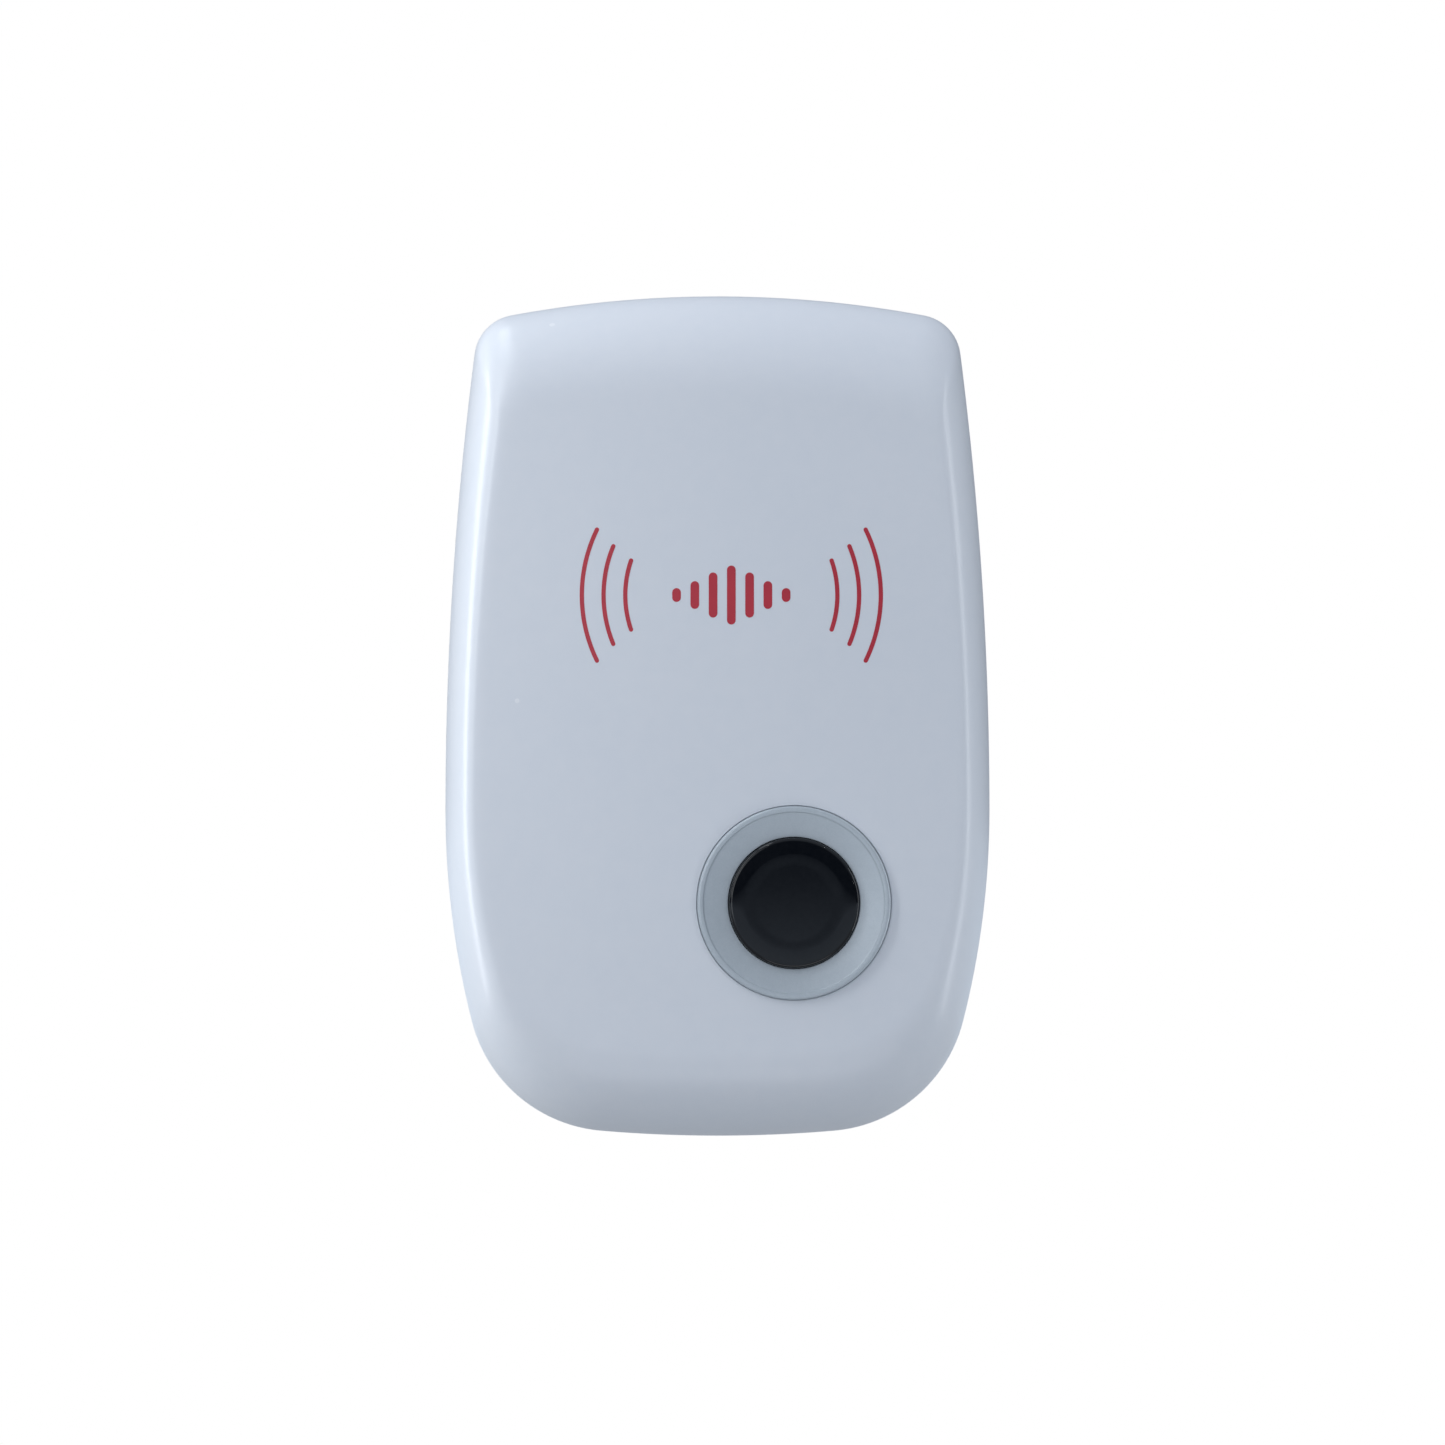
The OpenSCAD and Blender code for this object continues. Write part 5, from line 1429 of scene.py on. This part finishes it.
# %% Lamp
led_red, tree, shader = start_material("led_red", Transmission_Weight=0.75, IOR=1.5)
tint(tree, shader, (0.80, 0.05, 0.035), (0.70, 0.04, 0.03), 400)
gloss(tree, shader, 0.12, 0.06, 400)
LAMP_R, LAMP_RIM_R, LAMP_FOOT, lamp_top = 1.5, 1.8, BOARD_TOP + GAP, corners("indicator_led")[1].z
dome = rounded((0, lamp_top - LAMP_R), LAMP_R, 0, 90, 10)[:-1]
lamp = make("lamp", lathe([(0, LAMP_FOOT), (LAMP_RIM_R, LAMP_FOOT), (LAMP_RIM_R, LAMP_FOOT + 0.75),
                           (LAMP_RIM_R - 0.05, LAMP_FOOT + 0.8), (LAMP_R, LAMP_FOOT + 0.8)] + dome
                          + [(0, lamp_top)], led_c.xy, 40))
settle(lamp, led_red, "indicator_led", sharp=50)

# %% [markdown]
# ## Circuit board
# One sheet of green glass-epoxy. Every leg gets a drilled hole, and a fillet of solder on the
# underside; flat copper tracks under the green lacquer join neighbouring legs.

# %% Board
LEG_HOLE_R, SCREW_HOLE_R, BOARD_CORNER_R = 0.45, 1.2, 1.2
MAINS_R, SIGNAL_R = 0.9, 0.5
live_end, signal_end = corners("mains_wire_live")[1], corners("transducer_wire_b")[1]
mains_pads = [(side * (live_end.x - MAINS_R), live_end.y - MAINS_R) for side in (-1, 1)]
signal_pads = [(side * 3.0, signal_end.y - SIGNAL_R) for side in (-1, 1)]
low, high = corners("circuit_board")
board_green = plastic("board_green", (0.025, 0.17, 0.065), (0.035, 0.21, 0.085), 0.3, drift_scale=400,
                      grain_scale=1500, depth=4e-6)
sheet = make("board_sheet", rounded_plate((low + high) / 2, high.x - low.x, high.y - low.y,
                                          BOARD_CORNER_R, low.z, high.z))
drills = [rod(LEG_HOLE_R, low.z - 1, high.z + 1, p, 12) for p in leg_spots]
drills += [rod(SCREW_HOLE_R, low.z - 1, high.z + 1, p) for p in held]
carve(sheet, "DIFFERENCE", together(*drills))
settle(sheet, board_green, "circuit_board")

# %% Solder and tracks
COPPER_T = 0.05
board_under = low.z


def solder(p, size=0.75):
    return lathe([(LEG_R, board_under), (size, board_under), (size, board_under - COPPER_T),
                  (size * 0.7, board_under - 0.22), (LEG_R + 0.14, board_under - 0.6),
                  (LEG_R + 0.04, board_under - 1.0), (LEG_R, board_under - 1.05)], p, 20)


def track(a, b, half_w=0.3):
    """A flat track from one leg to another, with one bend at 45 degrees."""
    a, b = Vector(a), Vector(b)
    step = b - a
    slant = min(abs(step.x), abs(step.y))
    knee = a + Vector((math.copysign(slant, step.x), math.copysign(slant, step.y)))
    path = [a, knee, b] if (knee - b).length > 0.2 and slant > 0.2 else [a, b]
    edges = ((1, 0), (-1, 0), (-1, COPPER_T * 0.6), (1, COPPER_T * 0.6))
    rings = []
    for i, point in enumerate(path):
        way = (path[min(i + 1, len(path) - 1)] - path[max(i - 1, 0)]).normalized()
        side = Vector((-way.y, way.x)) * half_w
        rings.append([(point.x + s * side.x, point.y + s * side.y, board_under - t) for s, t in edges])
    return stack(rings)


settle(make("solder_joints", together(*[solder(p) for p in leg_spots])), tinned_metal)
near_pairs = [(a, b) for i, a in enumerate(leg_spots) for b in leg_spots[i + 1:]
              if 3.0 < math.dist(a, b) < 5.2]
taken, joined = set(), []
for a, b in near_pairs:
    if a not in taken and b not in taken:
        taken |= {a, b}
        joined.append((a, b))
settle(make("board_tracks", together(*[track(a, b) for a, b in joined])), board_green)
print(len(leg_spots), "solder joints and", len(joined), "tracks")

# %% [markdown]
# ## Switch
# A square push switch under the cap: a body with a seam round it, a plunger whose stem fits
# the cap's socket, and a return spring between the plunger's foot and the floor.

# %% Body
SWITCH_W, CHAMBER_W, FOOT_W, SEAM = 8.5, 5.8, 5.6, 0.12
low, high = corners("switch_housing")
plunger_low, plunger_high = corners("switch_plunger")


def square(width, z, corner=0.3):
    half, c = width / 2, min(corner, width / 4)
    turns = [(half, half - c), (half - c, half), (c - half, half), (-half, half - c), (-half, c - half),
             (c - half, -half), (half - c, -half), (half, c - half)]
    return [(button.x + x, button.y + y, z) for x, y in turns]


seam_z = high.z - 1.6
shell = make("switch_body", stack([square(SWITCH_W - 0.3, low.z), square(SWITCH_W, low.z + 0.15),
                                   square(SWITCH_W, seam_z - SEAM),
                                   square(SWITCH_W - 2 * SEAM, seam_z - SEAM / 2),
                                   square(SWITCH_W - 2 * SEAM, seam_z + SEAM / 2),
                                   square(SWITCH_W, seam_z + SEAM), square(SWITCH_W, high.z - 0.2),
                                   square(SWITCH_W - 0.4, high.z)]))
carve(shell, "DIFFERENCE", stack([square(CHAMBER_W, low.z + 1), square(CHAMBER_W, high.z - 1)]))
carve(shell, "DIFFERENCE", stack([square(STEM_W + 0.2, high.z - 2, 0.1),
                                  square(STEM_W + 0.2, high.z + 1, 0.1)]))
switch_black = plastic("switch_black", (0.028, 0.028, 0.03), (0.04, 0.04, 0.042), 0.5, depth=8e-6)
settle(shell, switch_black, "switch_housing")

# %% Plunger
foot_top = plunger_low.z + 1.2
stem = make("plunger", stack([square(FOOT_W - 0.3, plunger_low.z), square(FOOT_W, plunger_low.z + 0.15),
                              square(FOOT_W, foot_top - 0.15), square(FOOT_W - 0.3, foot_top),
                              square(STEM_W, foot_top + 0.01, 0.15),
                              square(STEM_W, plunger_high.z - 0.25, 0.15),
                              square(STEM_W - 0.4, plunger_high.z, 0.15)]))
plunger_ivory = plastic("plunger_ivory", (0.74, 0.70, 0.58), (0.70, 0.66, 0.54), 0.42, depth=4e-6)
settle(stem, plunger_ivory, "switch_plunger", body="button")

# %% [markdown]
# ### Return spring
# A round wire wound up a cylinder, with its end turns closed flat. Its foot stays and its head moves
# with the button; here it rides on the housing, with a mesh of its own.

# %% Return spring
low, high = corners("switch_spring")
SPRING_TURNS, WIRE_R, STEPS = 3.5, 0.17, 28
coil_r = (high.x - low.x) / 2 - 0.18
count = int(SPRING_TURNS * STEPS)


def climb(share):
    """Flat at both ends, steady between."""
    eased = min(max((share - 0.12) / 0.76, 0), 1)
    return low.z + WIRE_R + (high.z - low.z - 2 * WIRE_R) * (0.06 * share + 0.94 * eased)


helix = [(button.x + coil_r * math.cos(math.tau * i / STEPS),
          button.y + coil_r * math.sin(math.tau * i / STEPS), climb(i / count)) for i in range(count + 1)]
spring_steel = metal("spring_steel", (0.60, 0.61, 0.63), (0.52, 0.53, 0.56), 0.25, (700, 700, 700))
spring = settle(make("return_spring", bar(helix, WIRE_R, 10)), spring_steel, "switch_spring", sharp=60)
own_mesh(spring)

# %% [markdown]
# ## Sounder
# The sounder lies along the case with its mouth at the slots: an aluminium can with a turned-in
# lip, a punched mesh behind the lip, a small horn on a brass disc with a ceramic face, and a
# brown base that carries the two terminals. A rubber grommet holds it in its cradle.

# %% Can, mesh and horn
low, high = corners("transducer_case")
can_y, can_end, can_r = low.y, high.y, (high.x - low.x) / 2
CAN_WALL, LIP_R, MESH_HOLE_R, MESH_PITCH, CAN_EDGE = 0.5, 6.4, 0.8, 2.888, 0.7


def about_axis(shape):
    return laid(shape, axis_at, "y")


can_section = [(LIP_R + 0.15, can_y)] + rounded((can_r - CAN_EDGE, can_y + CAN_EDGE), CAN_EDGE, -90, 0, 8)
can_section += [(can_r, can_end - 0.1), (can_r - 0.1, can_end), (can_r - CAN_WALL + 0.1, can_end),
                (can_r - CAN_WALL, can_end - 0.1), (can_r - CAN_WALL, can_y + CAN_WALL),
                (LIP_R + 0.15, can_y + CAN_WALL), (LIP_R, can_y + CAN_WALL - 0.15), (LIP_R, can_y + 0.15)]
settle(make("sounder_can", about_axis(lathe(can_section, steps=96))), can_aluminium,
       "transducer_case", sharp=45)
mesh_low, mesh_high = corners("transducer_mesh")
plate_r = (mesh_high.x - mesh_low.x) / 2
punched = make("sounder_mesh", about_axis(rod(plate_r, mesh_low.y, mesh_high.y, steps=72)))
hole_spots = [(0, 0)] + [(MESH_PITCH * n * math.cos(math.radians(60 * i / n)),
                          MESH_PITCH * n * math.sin(math.radians(60 * i / n))) for n in (1, 2)
                         for i in range(6 * n)]
carve(punched, "DIFFERENCE", about_axis(together(*[rod(MESH_HOLE_R, can_y, can_y + 2, p)
                                             for p in hole_spots])))
mesh_aluminium = metal("mesh_aluminium", (0.50, 0.51, 0.53), (0.44, 0.45, 0.48), 0.4, (3000, 3000, 3000))
settle(punched, mesh_aluminium, "transducer_mesh", slot="can_aluminium")
low, high = corners("transducer_cone")
mouth_r = (high.x - low.x) / 2
flare = [(mouth_r - (mouth_r - 0.9) * math.sin(math.radians(9 * i)),
          low.y + (high.y - 0.8 - low.y) * i / 10) for i in range(11)]
horn = [(r - 0.35, y) for r, y in flare[:-1]]
horn += [(0.6, high.y - 0.85), (0, high.y - 0.85), (0, high.y), (1.4, high.y)]
horn_section = horn + [(r, y + 0.1) for r, y in reversed(flare[1:-1])] + [(mouth_r, low.y)]
settle(make("sounder_horn", about_axis(lathe(horn_section, steps=64))), can_aluminium, "transducer_cone")

# %% Disc, ceramic, base and terminals
low, high = corners("transducer_disc")
disc_r, BRASS_T, CERAMIC_R = (high.x - low.x) / 2, 0.3, 4.4
piezo_brass = metal("piezo_brass", (0.80, 0.62, 0.28), (0.72, 0.54, 0.22), 0.25, (2500, 2500, 2500))
ceramic_pale = plastic("ceramic_pale", (0.62, 0.60, 0.54), (0.56, 0.54, 0.49), 0.55, grain_scale=5000,
                       depth=6e-6)
base_phenolic = plastic("base_phenolic", (0.13, 0.065, 0.03), (0.18, 0.095, 0.045), 0.5, drift_scale=900,
                        depth=1e-5)
disc = lathe([(0, low.y), (disc_r - 0.05, low.y), (disc_r, low.y + 0.05), (disc_r, low.y + BRASS_T),
              (0, low.y + BRASS_T)], steps=64)
settle(make("piezo_disc", about_axis(disc)), piezo_brass, "transducer_disc")
ceramic = lathe([(0, low.y + BRASS_T), (CERAMIC_R, low.y + BRASS_T), (CERAMIC_R, high.y - 0.08),
                 (CERAMIC_R - 0.08, high.y), (0, high.y)], steps=64)
settle(make("piezo_ceramic", about_axis(ceramic)), ceramic_pale, slot="piezo_brass")
base_low, base_high = corners("transducer_base")
base_r, base_y, RING_OUT, RING_IN = (base_high.x - base_low.x) / 2, can_end - 2.4, 3.5, 2.5
stool = lathe([(0, can_end), (0, base_y), (RING_IN, base_y), (RING_IN, base_low.y + 0.1),
               (RING_IN + 0.1, base_low.y), (RING_OUT - 0.1, base_low.y), (RING_OUT, base_low.y + 0.1),
               (RING_OUT, base_y), (base_r - 0.2, base_y), (base_r, base_y + 0.2),
               (base_r, can_end - 0.2), (base_r - 0.2, can_end)], steps=72)
settle(make("sounder_base", about_axis(stool)), base_phenolic, "transducer_base")
TERMINAL_X, TERMINAL_R = 2.5, 0.4
posts = [bar([(side * TERMINAL_X, can_end - 1, sounder_z), (side * TERMINAL_X, base_high.y, sounder_z)],
             TERMINAL_R, 14) for side in (-1, 1)]
settle(make("sounder_terminals", together(*posts)), tinned_metal)

# %% Grommet
low, high = corners("transducer_grommet")
RIB = 0.25
edge_out = grommet_r - RIB
grommet = [(can_r + 0.02, low.y + 0.2), (can_r + 0.2, low.y)]
grommet += rounded((edge_out - 0.3, low.y + 0.3), 0.3, -90, 0, 4)
grommet += [(edge_out, CRADLE_Y - 0.1), (grommet_r, CRADLE_Y + 0.2),
            (grommet_r, CRADLE_Y + CRADLE_T - 0.2), (edge_out, CRADLE_Y + CRADLE_T + 0.1)]
grommet += rounded((edge_out - 0.3, high.y - 0.3), 0.3, 0, 90, 4)
grommet += [(can_r + 0.2, high.y), (can_r + 0.02, high.y - 0.2)]
grommet_rubber = plastic("grommet_rubber", (0.022, 0.022, 0.024), (0.035, 0.035, 0.037), 0.7, depth=1.5e-5)
settle(make("grommet", about_axis(lathe(grommet, steps=96))), grommet_rubber, "transducer_grommet")

# %% [markdown]
# ## Wires
# Four short wires stay inside the case: two thick ones from the pins' tails to the board, and
# two thin ones from the sounder's terminals. Each follows a few chosen points in a soft curve.
# The insulation stops short of the pad, and a tinned core goes on into the solder.

# %% Routes, from each end
STRIP = 0.8
MAINS_START = [(0, 0, 0), (0, 0, 4), (0.2, 0.6, 7), (0.9, 2.5, 11)]
MAINS_END = [(-1.4, -4, -2.8), (-0.3, -0.9, -2.4), (0, 0, -1.2), (0, 0, 0)]
SIGNAL_START = [(0, 0, 0), (0, 1.2, 0)]
SIGNAL_END = [(-0.3, -3.2, 1.7), (-0.1, -1.7, 2.4), (0, -0.4, 1.8), (0, 0, 0.8), (0, 0, 0)]


def route(side, start, start_at, end, end_at):
    points = [Vector(p) + Vector(start_at) for p in start] + [Vector(p) + Vector(end_at) for p in end]
    return smooth([(side * x, y, z) for x, y, z in points])


def wire(name, curve, radius, finish, node):
    covered = [p for p in curve if (p - curve[-1]).length > STRIP]
    settle(make(name, bar(covered, radius, 20)), finish, node)
    bare = curve[len(covered) - 1:]
    settle(make(name + "_core", bar(bare, radius * 0.5, 12)), tinned_metal)


WIRE_SHADES = {"wire_brown": ((0.16, 0.06, 0.025), (0.14, 0.05, 0.02)),
               "wire_blue": ((0.02, 0.10, 0.40), (0.02, 0.085, 0.35)),
               "wire_red": ((0.48, 0.02, 0.018), (0.42, 0.018, 0.016)),
               "wire_black": ((0.02, 0.02, 0.022), (0.03, 0.03, 0.032))}
wire_finishes = {name: plastic(name, *shades, 0.4, depth=4e-6) for name, shades in WIRE_SHADES.items()}
mains_x, mains_y = mains_pads[1]
signal_x, signal_y = signal_pads[1]
for side, name, finish in ((1, "mains_wire_live", "wire_brown"), (-1, "mains_wire_neutral", "wire_blue")):
    curve = route(side, MAINS_START, (PIN_SPACING / 2, plug.y, PIN_TAIL_Z), MAINS_END,
                  (mains_x, mains_y, BOARD_Z))
    wire(name.replace("mains_wire_", "lead_"), curve, MAINS_R, wire_finishes[finish], name)
for side, name, finish in ((-1, "transducer_wire_a", "wire_red"), (1, "transducer_wire_b", "wire_black")):
    curve = route(side, SIGNAL_START, (TERMINAL_X, base_high.y, sounder_z), SIGNAL_END,
                  (signal_x, signal_y, BOARD_TOP))
    wire(name.replace("transducer_wire_", "signal_"), curve, SIGNAL_R, wire_finishes[finish], name)

low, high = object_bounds()
print("the visual box measures", [round(1000 * side, 2) for side in high - low], "mm")
